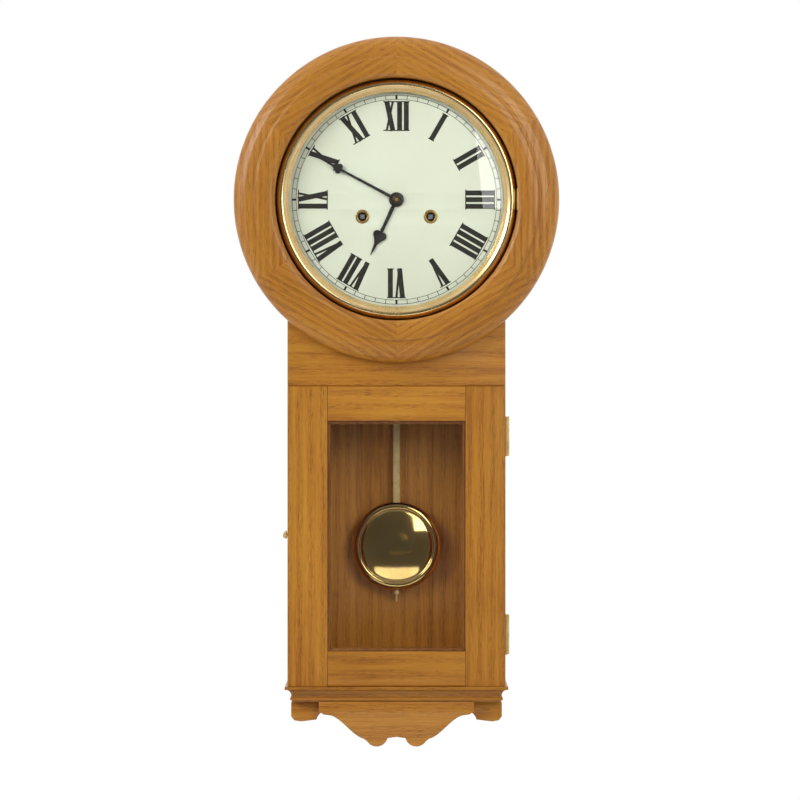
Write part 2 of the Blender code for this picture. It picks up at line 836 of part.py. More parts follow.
def make_winding_side(side, centre, sign, towards):
    """The main wheel, the winding arbor with its ratchet, and the click between them."""
    wheel_pivot = pivot_at(side + "_main_pivot", centre[0], 0.0, centre[1])
    wheel = wheel_disc(MAIN_GEAR, centre, towards, MAIN_LAYER, bore=WINDING_ARBOR + 0.4)
    stud_x = centre[0] + sign * CLICK_RADIUS
    stud = rod(
        "click_stud", (stud_x, MAIN_LAYER + 1.0, centre[1]), (stud_x, -63.4, centre[1]), 1.1, 10
    )
    finish(unite(wheel, stud), side + "_main_wheel", brass, wheel_pivot)

    arbor_pivot = pivot_at(side + "_winding_pivot", centre[0], 0.0, centre[1], wheel_pivot)
    body = [
        (0.0, -32.0),
        (2.4, -32.0),
        (2.4, -36.0),
        (WINDING_ARBOR, -36.0),
        (WINDING_ARBOR, -74.0),
        (2.4, -74.0),
        (2.4, -80.0),
        (0.0, -80.0),
    ]
    shaft = turned("shaft", centre, body, 16)
    ratchet = flat("ratchet", [ratchet_outline(sign)], *RATCHET, centre=centre)
    half = WINDING_SQUARE
    square = box(
        "square",
        (centre[0] - half, -103.6, centre[1] - half),
        (centre[0] + half, -79.0, centre[1] + half),
    )
    finish(unite(shaft, ratchet, square), side + "_winding_arbor", steel, arbor_pivot)

    click_pivot = pivot_at(side + "_click_pivot", stud_x, 0.0, centre[1], wheel_pivot)
    nose = radians(NOSE_ANGLE)
    reach = (NOSE_RADIUS * cos(nose) - CLICK_RADIUS, NOSE_RADIUS * sin(nose))
    length = hypot(*reach)
    heading = atan2(reach[1], reach[0])
    spread = acos(2.2 / length)
    eye = (degrees(heading + spread), degrees(heading + 2 * pi - spread))
    click = [
        *arc((0.0, 0.0), 2.6, *eye, 10),
        (reach[0] + 0.35 * sin(heading), reach[1] - 0.35 * cos(heading)),
        (reach[0] - 0.35 * sin(heading), reach[1] + 0.35 * cos(heading)),
    ]
    outlines = [[(sign * x, z) for x, z in click], circle(1.4, 10)]
    piece = flat("click", outlines, *RATCHET, centre=(stud_x, centre[1]))
    finish(piece, side + "_click", steel, click_pivot)


def make_second_wheel():
    pivot = pivot_at("second_pivot", SECOND[0], 0.0, SECOND[1])
    shaft = arbor(SECOND)
    wheel = wheel_disc(SECOND_GEAR, SECOND, CENTRE, SECOND_LAYER)
    leaves = pinion(MAIN_GEAR, SECOND, TIME_MAIN, -61.6, -56.6)
    finish(unite(shaft, wheel, leaves), "second_wheel", brass, pivot)


def make_centre_wheel():
    """The centre wheel, and on its arbor in front of the plate the cannon pinion."""
    pivot = pivot_at("minute_hand_pivot", 0.0, 0.0, 0.0)
    body = [
        (0.0, BACK_PLATE[1]),
        (PIVOT_RADIUS, BACK_PLATE[1]),
        (PIVOT_RADIUS, -36.0),
        (1.5, -36.0),
        (1.5, -78.0),
        (2.6, -78.0),
        (2.6, -107.9),
        (1.6, -107.9),
        (1.6, -112.0),
        (0.0, -112.0),
    ]
    shaft = turned("shaft", CENTRE, body, 14)
    wheel = wheel_disc(CENTRE_GEAR, CENTRE, THIRD, CENTRE_LAYER)
    leaves = pinion(SECOND_GEAR, CENTRE, SECOND, -67.0, -63.0)
    cannon = pinion(MINUTE_GEAR, CENTRE, MINUTE_STUD, -81.8, -78.8)
    finish(unite(shaft, wheel, leaves, cannon), "centre_wheel", brass, pivot)
    return pivot


def make_third_wheel():
    pivot = pivot_at("third_pivot", THIRD[0], 0.0, THIRD[1])
    shaft = arbor(THIRD, 0.9)
    wheel = wheel_disc(THIRD_GEAR, THIRD, ESCAPE, THIRD_LAYER)
    leaves = pinion(CENTRE_GEAR, THIRD, CENTRE, -53.0, -48.6)
    finish(unite(shaft, wheel, leaves), "third_wheel", brass, pivot)


def make_escape_wheel():
    pivot = pivot_at("escape_pivot", ESCAPE[0], 0.0, ESCAPE[1])
    shaft = arbor(ESCAPE, 0.9)
    teeth = toothed(ESCAPE_TEETH, ESCAPE_TIP, ESCAPE_ROOT, 0.0, 0.3, pi / 2)
    wheel = flat("wheel", [teeth], ESCAPE_LAYER, ESCAPE_LAYER + WHEEL_THICKNESS, centre=ESCAPE)
    leaves = pinion(THIRD_GEAR, ESCAPE, THIRD, -45.0, -40.4)
    finish(unite(shaft, wheel, leaves), "escape_wheel", brass, pivot)


def anchor_outline():
    """The pallets' frame: two narrow nibs that dip in turn between the escape wheel's teeth."""
    lean = pi * PALLET_SPAN_TEETH / ESCAPE_TEETH
    inward = (sin(lean), cos(lean))
    along = (cos(lean), -sin(lean))
    tip = ESCAPE_TIP + PALLET_CLEARANCE

    def point(radius, offset):
        return (
            radius * inward[0] + offset * along[0],
            ESCAPE[1] + radius * inward[1] + offset * along[1],
        )

    right = [
        (0.0, 48.6),
        (4.6, 47.0),
        (9.5, 43.5),
        point(19.5, 2.6),
        point(17.6, 1.5),
        point(tip, 0.25),
        point(tip, -0.25),
        point(16.4, -0.9),
        (8.0, 37.4),
        (4.0, 39.6),
    ]
    left = [(-x, z) for x, z in reversed(right[1:])]
    return [*right, (0.0, 40.4), *left]


def make_verge():
    pivot = pivot_at("verge_pivot", VERGE[0], 0.0, VERGE[1])
    shaft = turned(
        "shaft",
        VERGE,
        [
            (0.0, -29.0),
            (1.3, -29.0),
            (1.3, -74.0),
            (PIVOT_RADIUS, -74.0),
            (PIVOT_RADIUS, FRONT_PLATE[0]),
            (0.0, FRONT_PLATE[0]),
        ],
        12,
    )
    anchor = flat("anchor", [anchor_outline()], ESCAPE_LAYER - 0.4, ESCAPE_LAYER + 1.8)
    strip = box("strip", (-1.5, -30.8, -1.0), (1.5, -29.4, 46.4))
    bar = box("bar", (-5.5, -30.8, -2.0), (5.5, -29.6, 1.2))
    prongs = [
        box("prong", (x, -30.4, -2.0), (x + 1.3, -19.6, 1.0)) for x in (-5.4, 4.1)
    ]
    finish(unite(shaft, anchor, strip, bar, *prongs), "anchor_and_crutch", steel, pivot)


def make_motion_work():
    minute = pivot_at("minute_wheel_pivot", MINUTE_STUD[0], 0.0, MINUTE_STUD[1])
    wheel = wheel_disc(MINUTE_GEAR, MINUTE_STUD, CENTRE, MINUTE_LAYER, bore=1.2)
    leaves = pinion(HOUR_GEAR, MINUTE_STUD, CENTRE, -85.6, -80.4, bore=1.2)
    finish(unite(wheel, leaves), "minute_wheel", brass, minute)

    hour = pivot_at("hour_hand_pivot", 0.0, 0.0, 0.0)
    wheel = wheel_disc(HOUR_GEAR, CENTRE, MINUTE_STUD, HOUR_LAYER, bore=2.95)
    pipe = turned(
        "pipe", CENTRE, [(4.4, -82.4), (4.4, -107.9), (2.95, -107.9), (2.95, -82.4)], 20, closed=True
    )
    finish(unite(wheel, pipe), "hour_wheel", brass, hour)
    return hour


# ---------------------------------------------------------------- hands


def spade_hand(length, hub, spade_at, spade_radius):
    """A spade hand that points up: hub, stem, spade and point."""
    stem = 1.7
    right = [
        *arc((0.0, 0.0), hub, 0, 74, 6),
        (stem, hub + 4.0),
        (stem * 0.75, spade_at - spade_radius * 1.5),
        (spade_radius * 0.5, spade_at - spade_radius * 1.15),
        *arc((0.0, spade_at), spade_radius, -40, 35, 5),
        (spade_radius * 0.36, spade_at + spade_radius * 1.15),
        (stem * 0.55, spade_at + spade_radius * 2.0),
        (0.5, length),
    ]
    lower = arc((0.0, 0.0), hub, 180, 360, 10)[1:-1]
    return [*right, *mirrored(right), *lower]


def make_hands(minute_pivot, hour_pivot):
    outline = spade_hand(MINUTE_HAND_LENGTH, 6.4, 74.0, 5.4)
    outline = turned_clockwise(outline, MINUTE_HAND_ANGLE)
    hand = flat("hand", [outline, circle(1.9, 14)], *MINUTE_HAND)
    finish(hand, "minute_hand", black_enamel, minute_pivot)

    outline = spade_hand(HOUR_HAND_LENGTH, 8.2, 46.0, 8.2)
    outline = turned_clockwise(outline, HOUR_HAND_ANGLE)
    hand = flat("hand", [outline, circle(4.7, 18)], *HOUR_HAND)
    finish(hand, "hour_hand", black_enamel, hour_pivot)

    nut = turned(
        "nut",
        CENTRE,
        [(1.9, -109.3), (4.2, -109.3), (4.2, -110.6), (2.9, -111.8), (1.9, -111.8)],
        16,
        closed=True,
    )
    finish(smooth(nut), "hand_nut", brass, minute_pivot)


# ---------------------------------------------------------------- strike train


def make_pin_wheel():
    pivot = pivot_at("pin_wheel_pivot", PIN_WHEEL[0], 0.0, PIN_WHEEL[1])
    shaft = arbor(PIN_WHEEL)
    wheel = wheel_disc(PIN_GEAR, PIN_WHEEL, WARNING, SECOND_LAYER)
    leaves = pinion(MAIN_GEAR, PIN_WHEEL, STRIKE_MAIN, -61.6, -56.6)
    pins = []
    for number in range(8):
        angle = 2 * pi * number / 8
        x = PIN_WHEEL[0] + 13.0 * cos(angle)
        z = PIN_WHEEL[1] + 13.0 * sin(angle)
        pins.append(rod(f"pin_{number}", (x, SECOND_LAYER + 0.7, z), (x, -69.0, z), 0.9, 6))
    finish(unite(shaft, wheel, leaves, *pins), "pin_wheel", brass, pivot)


def make_warning_wheel():
    pivot = pivot_at("warning_pivot", WARNING[0], 0.0, WARNING[1])
    shaft = arbor(WARNING)
    wheel = wheel_disc(WARNING_GEAR, WARNING, FLY, WARNING_LAYER)
    leaves = pinion(PIN_GEAR, WARNING, PIN_WHEEL, -67.0, -62.6)
    finish(unite(shaft, wheel, leaves), "warning_wheel", brass, pivot)


def make_fly():
    pivot = pivot_at("fly_pivot", FLY[0], 0.0, FLY[1])
    shaft = arbor(FLY)
    leaves = pinion(WARNING_GEAR, FLY, WARNING, -57.0, -52.6)
    blades = box(
        "blades", (FLY[0] - 9.0, -50.0, FLY[1] - 0.4), (FLY[0] + 9.0, -40.0, FLY[1] + 0.4)
    )
    finish(unite(shaft, leaves, blades), "fly", brass, pivot)


def make_hammer():
    pivot = pivot_at("hammer_pivot", HAMMER[0], 0.0, HAMMER[1])
    shaft = turned(
        "shaft",
        HAMMER,
        [
            (0.0, -29.6),
            (1.3, -29.6),
            (1.3, -74.0),
            (PIVOT_RADIUS, -74.0),
            (PIVOT_RADIUS, FRONT_PLATE[0]),
            (0.0, FRONT_PLATE[0]),
        ],
        12,
    )
    tail = box(
        "tail", (HAMMER[0], -68.2, HAMMER[1] - 1.0), (HAMMER[0] + 10.4, -66.6, HAMMER[1] + 1.0)
    )
    arm = wire(
        "arm",
        [
            (HAMMER[0], -30.6, HAMMER[1]),
            (-40.0, -29.0, -48.0),
            (-28.4, -19.0, -82.0),
            (-25.5, -16.0, -92.0),
        ],
        1.0,
    )
    head = rod("head", (-25.5, -11.5, -92.0), (-25.5, -20.5, -92.0), 4.0, 16)
    finish(unite(shaft, tail, arm, head), "hammer", brass, pivot)


# ---------------------------------------------------------------- pendulum


def make_pendulum():
    pivot = pivot_at("pendulum_pivot", VERGE[0], PENDULUM_Y, VERGE[1])
    spring = box("spring", (-0.15, -26.0, ROD_TOP + FIT), (0.15, -20.0, 49.6))
    finish(spring, "suspension_spring", steel, pivot)

    strip = box(
        "strip",
        (-ROD_HALF_WIDTH, PENDULUM_Y - 0.6, BOB_Z - 38.0),
        (ROD_HALF_WIDTH, PENDULUM_Y + 0.6, ROD_TOP - 1.0),
    )
    clasp = box("clasp", (-3.0, -25.6, ROD_TOP - 7.0), (3.0, -20.4, ROD_TOP))
    thread = rod("thread", (0.0, PENDULUM_Y, BOB_Z - 30.0), (0.0, PENDULUM_Y, ROD_END), 1.4, 10)
    finish(unite(strip, clasp, thread), "pendulum_rod", brass, pivot)

    bob_pivot = pivot_at("bob_pivot", 0.0, PENDULUM_Y, BOB_Z, pivot)
    half = BOB_THICKNESS / 2
    outer = [
        (0.0, PENDULUM_Y + half),
        (20.0, PENDULUM_Y + half * 0.92),
        (36.0, PENDULUM_Y + half * 0.66),
        (46.0, PENDULUM_Y + half * 0.34),
        (BOB_RADIUS, PENDULUM_Y + 1.4),
        (BOB_RADIUS, PENDULUM_Y - 1.4),
        (46.0, PENDULUM_Y - half * 0.34),
        (36.0, PENDULUM_Y - half * 0.66),
        (20.0, PENDULUM_Y - half * 0.92),
        (0.0, PENDULUM_Y - half),
    ]
    inner = [
        (0.0, PENDULUM_Y + half - 1.6),
        (34.0, PENDULUM_Y + half * 0.66 - 1.4),
        (44.0, PENDULUM_Y + 1.6),
        (44.0, PENDULUM_Y - 1.6),
        (34.0, PENDULUM_Y - half * 0.66 + 1.4),
        (0.0, PENDULUM_Y - half + 1.6),
    ]
    bob = turned("bob", (0.0, BOB_Z), outer, 32)
    hollow = turned("hollow", (0.0, BOB_Z), inner, 16)
    slot = box(
        "slot",
        (-ROD_HALF_WIDTH - 0.5, PENDULUM_Y - 1.8, BOB_Z - 60.0),
        (ROD_HALF_WIDTH + 0.5, PENDULUM_Y + 1.8, BOB_Z + 60.0),
    )
    bob = cut(smooth(bob), hollow, slot)
    finish(bob, "pendulum_bob", brass, bob_pivot)

    nut_pivot = pivot_at("rating_nut_pivot", 0.0, PENDULUM_Y, BOB_Z - 54.0, bob_pivot)
    top = BOB_Z - BOB_RADIUS - FIT
    nut = rod("nut", (0.0, PENDULUM_Y, top - 4.0), (0.0, PENDULUM_Y, top), 5.0, 16)
    bore = rod("bore", (0.0, PENDULUM_Y, top - 9.0), (0.0, PENDULUM_Y, top + 5.0), 1.7, 10)
    finish(cut(nut, bore), "rating_nut", brass, nut_pivot)


# ---------------------------------------------------------------- the clock

clear_scene()
CLOCK = new_collection("wall_clock")
HELPERS = new_collection("cutters")
PIVOTS = {}

make_carcass()
make_head()
make_foot()
make_hanger()
make_dial()
make_trunk_door()
make_hook()
make_bezel()
make_plates()
make_suspension_post()
make_mainspring("time_mainspring", TIME_MAIN, -1)
make_mainspring("strike_mainspring", STRIKE_MAIN, 1)
make_gong()
make_winding_side("time", TIME_MAIN, 1, SECOND)
make_winding_side("strike", STRIKE_MAIN, -1, PIN_WHEEL)
make_second_wheel()
minute_hand_pivot = make_centre_wheel()
make_third_wheel()
make_escape_wheel()
make_verge()
hour_hand_pivot = make_motion_work()
make_hands(minute_hand_pivot, hour_hand_pivot)
make_pin_wheel()
make_warning_wheel()
make_fly()
make_hammer()
make_pendulum()
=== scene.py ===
"""The looks of the round-headed drop wall clock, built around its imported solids.

Lengths are in metres. The frame is the CAD's: X to the right, Y into the wall, Z up, and the
origin on the wall level with the centre of the dial.
"""

from math import atan2, cos, pi, radians, sin, sqrt, tan

import bmesh
import bpy
from mathutils import Matrix, Vector


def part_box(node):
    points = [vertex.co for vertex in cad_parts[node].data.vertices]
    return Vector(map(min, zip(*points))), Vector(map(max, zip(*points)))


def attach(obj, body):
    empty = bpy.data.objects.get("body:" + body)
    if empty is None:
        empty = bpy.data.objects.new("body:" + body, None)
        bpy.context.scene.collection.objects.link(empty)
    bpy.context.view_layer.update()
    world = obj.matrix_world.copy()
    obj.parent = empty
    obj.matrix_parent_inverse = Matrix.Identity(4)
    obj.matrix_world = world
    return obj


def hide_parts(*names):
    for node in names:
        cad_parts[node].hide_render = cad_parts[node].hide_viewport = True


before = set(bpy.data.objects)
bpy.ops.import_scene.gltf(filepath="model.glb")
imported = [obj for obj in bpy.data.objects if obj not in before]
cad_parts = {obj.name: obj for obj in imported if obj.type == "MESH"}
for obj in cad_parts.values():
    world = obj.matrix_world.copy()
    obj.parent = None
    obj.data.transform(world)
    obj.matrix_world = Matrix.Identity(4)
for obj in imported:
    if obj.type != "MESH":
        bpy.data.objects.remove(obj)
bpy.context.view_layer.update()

MM = 0.001
FIT = 0.3 * MM

# ---------------------------------------------------------------- places, read from the frame


def low(node):
    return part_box(node)[0]


def high(node):
    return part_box(node)[1]


def middle(node):
    return (low(node) + high(node)) / 2


RING_OUTER = high("head_ring").x
RING_BACK = high("head_ring").y
RING_FRONT = low("head_ring").y
RING_INNER = 134 * MM
DIAL_RADIUS = high("dial_plate").x
DIAL_FACE = low("dial_plate").y
HALF_WIDTH = high("head_board").x
BEZEL_OUTER = high("bezel_ring").x
BEZEL_FRONT = low("bezel_ring").y
BEZEL_BACK = high("bezel_ring").y
OPENING_HALF = high("door_top_rail").x + FIT
OPENING_TOP = low("door_top_rail").z
OPENING_BOTTOM = high("door_bottom_rail").z
DOOR_FRONT = low("door_stile_left").y
DOOR_BACK = high("door_stile_left").y
BOB_CENTRE = middle("pendulum_bob")

RING_SEGMENTS = 6  # glued end to end, with a joint at twelve o'clock
GLASS_LAP = 5.8 * MM  # how far the trunk door's rebate reaches under its frame
GLASS_REBATE = 5.0 * MM  # and how deep it is, from the door's back

# The dial's printing, a raised layer of ink
INK_FRONT = DIAL_FACE - 0.12 * MM
INK_BACK = DIAL_FACE + 0.05 * MM
NUMERAL_INNER = 76.0 * MM
NUMERAL_OUTER = 109.0 * MM
NUMERAL_GAP = 1.9 * MM
STEM = 5.5 * MM
HAIR = 2.4 * MM
SERIF = 1.25 * MM
LETTER_WIDTHS = {"I": STEM, "V": 11.6 * MM, "X": 12.4 * MM}
TRACK_INNER = 111.0 * MM
TRACK_OUTER = 115.6 * MM
HOUR_HAND_ANGLE = 205.0  # degrees clockwise from twelve
MINUTE_HAND_ANGLE = 298.2

# The studio
FLOOR_LEVEL = -4.6
FLOOR_RADIUS = 9.8
FLOOR_FADE = (3.0, 9.5)  # distances from the middle, fully there to gone
ROOM_TURN = (-0.98, -0.2)  # how far a direction points to the front: dark end, bright end
ROOM_BRIGHTNESS = (0.08, 0.9)
CAMERA_DISTANCE = 4.0  # in front of the ring
VIEW_WIDTH = 0.88
VIEW_CENTRE = (0.0039, -0.2217)


# ---------------------------------------------------------------- node helpers


class Shader:
    """The nodes of a material or of the world, with short calls for the ones used here."""

    def __init__(self, name, kind=bpy.data.materials, surface="Principled BSDF"):
        self.material = kind.new(name)
        self.material.use_nodes = True
        self.tree = self.material.node_tree
        self.surface = self.tree.nodes[surface]

    def set(self, **values):
        for socket, value in values.items():
            self.surface.inputs[socket.replace("_", " ")].default_value = value

    def link(self, source, target):
        self.tree.links.new(source, target)

    def feed(self, socket, source):
        self.link(source, self.surface.inputs[socket])

    def node(self, kind, **settings):
        made = self.tree.nodes.new("ShaderNode" + kind)
        for key, value in settings.items():
            setattr(made, key, value)
        return made

    def coordinates(self, attribute=None):
        if attribute:
            return self.node("Attribute", attribute_name=attribute).outputs["Vector"]
        return self.node("TexCoord").outputs["Object"]

    def mapped(self, source, scale=(1, 1, 1), rotation=(0, 0, 0), offset=(0, 0, 0)):
        made = self.node("Mapping")
        made.inputs["Scale"].default_value = scale
        made.inputs["Rotation"].default_value = rotation
        made.inputs["Location"].default_value = offset
        self.link(source, made.inputs["Vector"])
        return made.outputs["Vector"]

    def noise(self, source, scale, detail=3.0, roughness=0.5):
        made = self.node("TexNoise")
        made.inputs["Scale"].default_value = scale
        made.inputs["Detail"].default_value = detail
        made.inputs["Roughness"].default_value = roughness
        self.link(source, made.inputs["Vector"])
        return made.outputs["Fac"]

    def ramp(self, source, stops):
        """Values or colours along 0 to 1, from (position, value) pairs."""
        made = self.node("ValToRGB")
        elements = made.color_ramp.elements
        while len(elements) < len(stops):
            elements.new(0.5)
        for element, (place, value) in zip(elements, stops):
            element.position = place
            rgb = value if isinstance(value, tuple) else (value, value, value)
            element.color = (*rgb, 1.0)
        self.link(source, made.inputs["Fac"])
        return made.outputs["Color"]

    def math(self, operation, first, second=None, third=None):
        made = self.node("Math", operation=operation)
        for socket, value in zip(made.inputs, (first, second, third)):
            if value is None:
                continue
            if isinstance(value, (int, float)):
                socket.default_value = value
            else:
                self.link(value, socket)
        return made.outputs["Value"]

    def mix(self, factor, first, second, blend="MIX"):
        """Two colours mixed. Inputs 6 and 7 are the node's colour sockets, and output 2 its colour."""
        made = self.node("Mix", data_type="RGBA", blend_type=blend)
        sockets = (made.inputs[0], made.inputs[6], made.inputs[7])
        for socket, value in zip(sockets, (factor, first, second)):
            if isinstance(value, (int, float)):
                socket.default_value = value
            elif isinstance(value, tuple):
                socket.default_value = (*value, 1.0)
            else:
                self.link(value, socket)
        return made.outputs[2]

    def map_range(self, source, limits, values):
        made = self.node("MapRange", interpolation_type="SMOOTHSTEP")
        names = ("From Min", "From Max", "To Min", "To Max")
        for socket, value in zip(names, (*limits, *values)):
            made.inputs[socket].default_value = value
        self.link(source, made.inputs["Value"])
        return made.outputs["Result"]

    def bump(self, height, distance, strength):
        made = self.node("Bump")
        made.inputs["Distance"].default_value = distance
        made.inputs["Strength"].default_value = strength
        self.link(height, made.inputs["Height"])
        self.feed("Normal", made.outputs["Normal"])


# ---------------------------------------------------------------- materials

GRAIN_TURNS = {"X": (0.0, 0.0, 0.0), "Z": (0.0, pi / 2, 0.0)}  # brings the grain onto X
OAK = ((0.620, 0.285, 0.036), (0.530, 0.215, 0.022), (0.340, 0.115, 0.009))
# Painted shade: the base moulding's oak, made darker to stand for the shade that falls on its cove
MOULDING_OAK_PAINTED_SHADE = ((0.50, 0.215, 0.022), (0.42, 0.160, 0.013), (0.25, 0.080, 0.006))
# Painted shade: the door bead's oak, about half as bright, to stand for the shadow at the window's
# edges
BEAD_OAK_PAINTED_SHADE = ((0.33, 0.125, 0.014), (0.25, 0.088, 0.009), (0.14, 0.045, 0.005))
INSIDE_OAK = ((0.62, 0.282, 0.034), (0.53, 0.212, 0.021), (0.33, 0.113, 0.008))

BRASS_TONE = (0.80, 0.56, 0.22)
TARNISH_TONE = (0.50, 0.32, 0.10)


def oak(name, grain, seed, tones=OAK, coat=0.3, attribute=None):
    """Lacquered oak: growth lines along the grain, short dark pores and slow changes of tone."""
    shader = Shader(name)
    cut = (seed, seed * 0.37, seed * 0.21)
    place = shader.mapped(shader.coordinates(attribute), rotation=GRAIN_TURNS[grain], offset=cut)
    slow = shader.noise(shader.mapped(place, scale=(3.0, 14.0, 14.0)), 1.0, 2.0)
    sway = shader.noise(shader.mapped(place, scale=(5.0, 20.0, 20.0)), 1.0, 2.0)
    growth = shader.node("TexWave", wave_type="RINGS", rings_direction="X", wave_profile="SIN")
    settings = {"Scale": 46.0, "Distortion": 4.5, "Detail": 2.0, "Detail Scale": 0.22}
    for socket, value in settings.items():
        growth.inputs[socket].default_value = value
    bent = shader.mapped(place, scale=(0.16, 1.0, 1.0), offset=(0.0, 0.05, 0.04))
    shader.link(bent, growth.inputs["Vector"])
    streaks = shader.noise(shader.mapped(place, scale=(14.0, 420.0, 420.0)), 1.0, 3.0, 0.6)
    fibre = shader.noise(shader.mapped(place, scale=(45.0, 1500.0, 1500.0)), 1.0, 2.0)
    figure = shader.math("MULTIPLY", streaks, 0.62)
    figure = shader.math("MULTIPLY_ADD", growth.outputs["Fac"], 0.11, figure)
    figure = shader.math("MULTIPLY_ADD", sway, 0.46, figure)
    figure = shader.math("MULTIPLY_ADD", fibre, 0.28, figure)
    colour = shader.ramp(figure, [(0.46, tones[0]), (0.72, tones[1]), (0.98, tones[2])])
    tone = shader.ramp(slow, [(0.25, (0.86, 0.84, 0.80)), (0.75, (1.08, 1.09, 1.12))])
    colour = shader.mix(1.0, colour, tone, "MULTIPLY")
    pores = shader.noise(shader.mapped(place, scale=(95.0, 1900.0, 1900.0)), 1.0, 1.0)
    pores = shader.ramp(pores, [(0.585, 0.0), (0.63, 1.0)])
    early = shader.ramp(growth.outputs["Fac"], [(0.20, 0.35), (0.75, 1.0)])
    pores = shader.math("MULTIPLY", pores, early)
    pore_tone = tuple(0.55 * value for value in tones[2])
    colour = shader.mix(shader.math("MULTIPLY", pores, 0.62), colour, pore_tone)
    shader.feed("Base Color", colour)
    shader.feed("Roughness", shader.ramp(figure, [(0.5, 0.34), (1.0, 0.46)]))
    shader.set(Coat_Weight=coat, Coat_Roughness=0.2, Coat_IOR=1.45, Specular_IOR_Level=0.35)
    relief = shader.math("SUBTRACT", shader.math("MULTIPLY", figure, 0.15), pores)
    shader.bump(relief, 0.00008, 0.45)
    return shader.material


def brass(name, roughness, tone=BRASS_TONE, dull=TARNISH_TONE, marks=60.0, wear=1.0):
    """Brass with faint clouds of tarnish, of a size set by marks, and fine scratches."""
    shader = Shader(name)
    place = shader.coordinates()
    clouds = shader.noise(place, marks, 4.0, 0.55)
    specks = shader.noise(place, marks * 14, 2.0)
    worn = shader.math("MULTIPLY_ADD", specks, 0.3, clouds)
    shader.feed("Base Color", shader.ramp(worn, [(0.45, tone), (0.95, dull)]))
    shader.feed("Roughness", shader.ramp(worn, [(0.35, roughness * 0.8), (0.9, roughness * 1.7)]))
    scratches = shader.noise(shader.mapped(place, scale=(1.0, 1.0, 9.0)), 420.0, 2.0)
    shader.set(Metallic=1.0)
    shader.bump(scratches, 0.00002, 0.2 * wear)
    return shader.material


def steel(name, tone=(0.40, 0.41, 0.43), dull=(0.24, 0.24, 0.26)):
    """Bare or blued steel, clouded between its two tones, with fine drawn lines."""
    roughness = 0.28
    shader = Shader(name)
    place = shader.coordinates()
    clouds = shader.noise(place, 90.0, 4.0)
    shader.feed("Base Color", shader.ramp(clouds, [(0.3, tone), (0.75, dull)]))
    shader.feed("Roughness", shader.ramp(clouds, [(0.3, roughness), (0.8, roughness * 1.6)]))
    lines = shader.noise(shader.mapped(place, scale=(1.0, 1.0, 12.0)), 500.0, 2.0)
    shader.set(Metallic=1.0)
    shader.bump(lines, 0.00003, 0.3)
    return shader.material


def dial_enamel(name):
    """Cream enamel: faint yellowed clouds, a few specks and the softest unevenness."""
    shader = Shader(name)
    place = shader.coordinates()
    clouds = shader.noise(place, 16.0, 4.0)
    specks = shader.noise(place, 700.0, 1.0)
    tones = [(0.3, (0.675, 0.706, 0.568)), (0.75, (0.645, 0.662, 0.512))]
    clean = shader.ramp(clouds, tones)
    speck_mask = shader.ramp(specks, [(0.72, 0.0), (0.80, 0.35)])
    shader.feed("Base Color", shader.mix(speck_mask, clean, (0.50, 0.47, 0.33)))
    shader.feed("Roughness", shader.ramp(clouds, [(0.3, 0.34), (0.8, 0.46)]))
    shader.set(Coat_Weight=0.2, Coat_Roughness=0.1)
    shader.bump(clouds, 0.0004, 0.06)
    return shader.material


def black_finish(name, size, tones, gloss, **settings):
    """A black coat in patches of two tones, each with its own roughness."""
    shader = Shader(name)
    patches = shader.noise(shader.coordinates(), size, 3.0)
    shader.feed("Base Color", shader.ramp(patches, list(zip((0.3, 0.8), tones))))
    shader.feed("Roughness", shader.ramp(patches, list(zip((0.3, 0.8), gloss))))
    shader.set(**settings)
    return shader.material


def printed_ink(name):
    tones = ((0.012, 0.010, 0.007), (0.032, 0.028, 0.020))
    return black_finish(name, 260.0, tones, (0.5, 0.7), Specular_IOR_Level=0.25)


def black_lacquer(name):
    tones = ((0.008, 0.007, 0.006), (0.020, 0.018, 0.015))
    return black_finish(name, 180.0, tones, (0.26, 0.4), Coat_Weight=0.4, Coat_Roughness=0.12)


def clear_glass(name):
    """Window glass that lets lamps through, with the faintest waviness."""
    shader = Shader(name)
    tint = (0.97, 0.985, 0.975, 1.0)
    shader.set(Base_Color=tint, Transmission_Weight=1.0, IOR=1.38, Roughness=0.0)
    shader.bump(shader.noise(shader.coordinates(), 22.0, 1.0), 0.00012, 0.25)
    output = shader.tree.nodes["Material Output"]
    path = shader.node("LightPath")
    clear = shader.node("BsdfTransparent")
    blend = shader.node("MixShader")
    shader.link(path.outputs["Is Shadow Ray"], blend.inputs[0])
    shader.link(shader.surface.outputs[0], blend.inputs[1])
    shader.link(clear.outputs[0], blend.inputs[2])
    shader.link(blend.outputs[0], output.inputs["Surface"])
    return shader.material


# ---------------------------------------------------------------- shape helpers


def wear_material(mesh, material, angle):
    """One material all over, shaded smooth except across edges sharper than this many degrees."""
    mesh.materials.clear()
    mesh.materials.append(material)
    mesh.shade_smooth()
    mesh.set_sharp_from_angle(angle=radians(angle))


def place_piece(obj, body, material, replaced=(), angle=35):
    """Gives a piece its finish and the body that it moves with."""
    wear_material(obj.data, material, angle)
    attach(obj, body)
    if replaced:
        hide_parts(*replaced)


def new_object(name, data):
    obj = bpy.data.objects.new(name, data)
    bpy.context.scene.collection.objects.link(obj)
    return obj


def new_mesh(name, points, faces):
    mesh = bpy.data.meshes.new(name)
    mesh.from_pydata(points, [], faces)
    return new_object(name, mesh)


def from_bmesh(name, bm):
    mesh = bpy.data.meshes.new(name)
    bm.to_mesh(mesh)
    bm.free()
    return new_object(name, mesh)


def evaluated_mesh(obj):
    bpy.context.view_layer.update()
    graph = bpy.context.evaluated_depsgraph_get()
    return bpy.data.meshes.new_from_object(obj.evaluated_get(graph))


def carve(obj, cutter):
    """Cuts one closed mesh out of another and removes the cutter."""
    modifier = obj.modifiers.new("cut", "BOOLEAN")
    modifier.operation = "DIFFERENCE"
    modifier.object = cutter
    obj.data = evaluated_mesh(obj)
    obj.modifiers.clear()
    bpy.data.objects.remove(cutter)


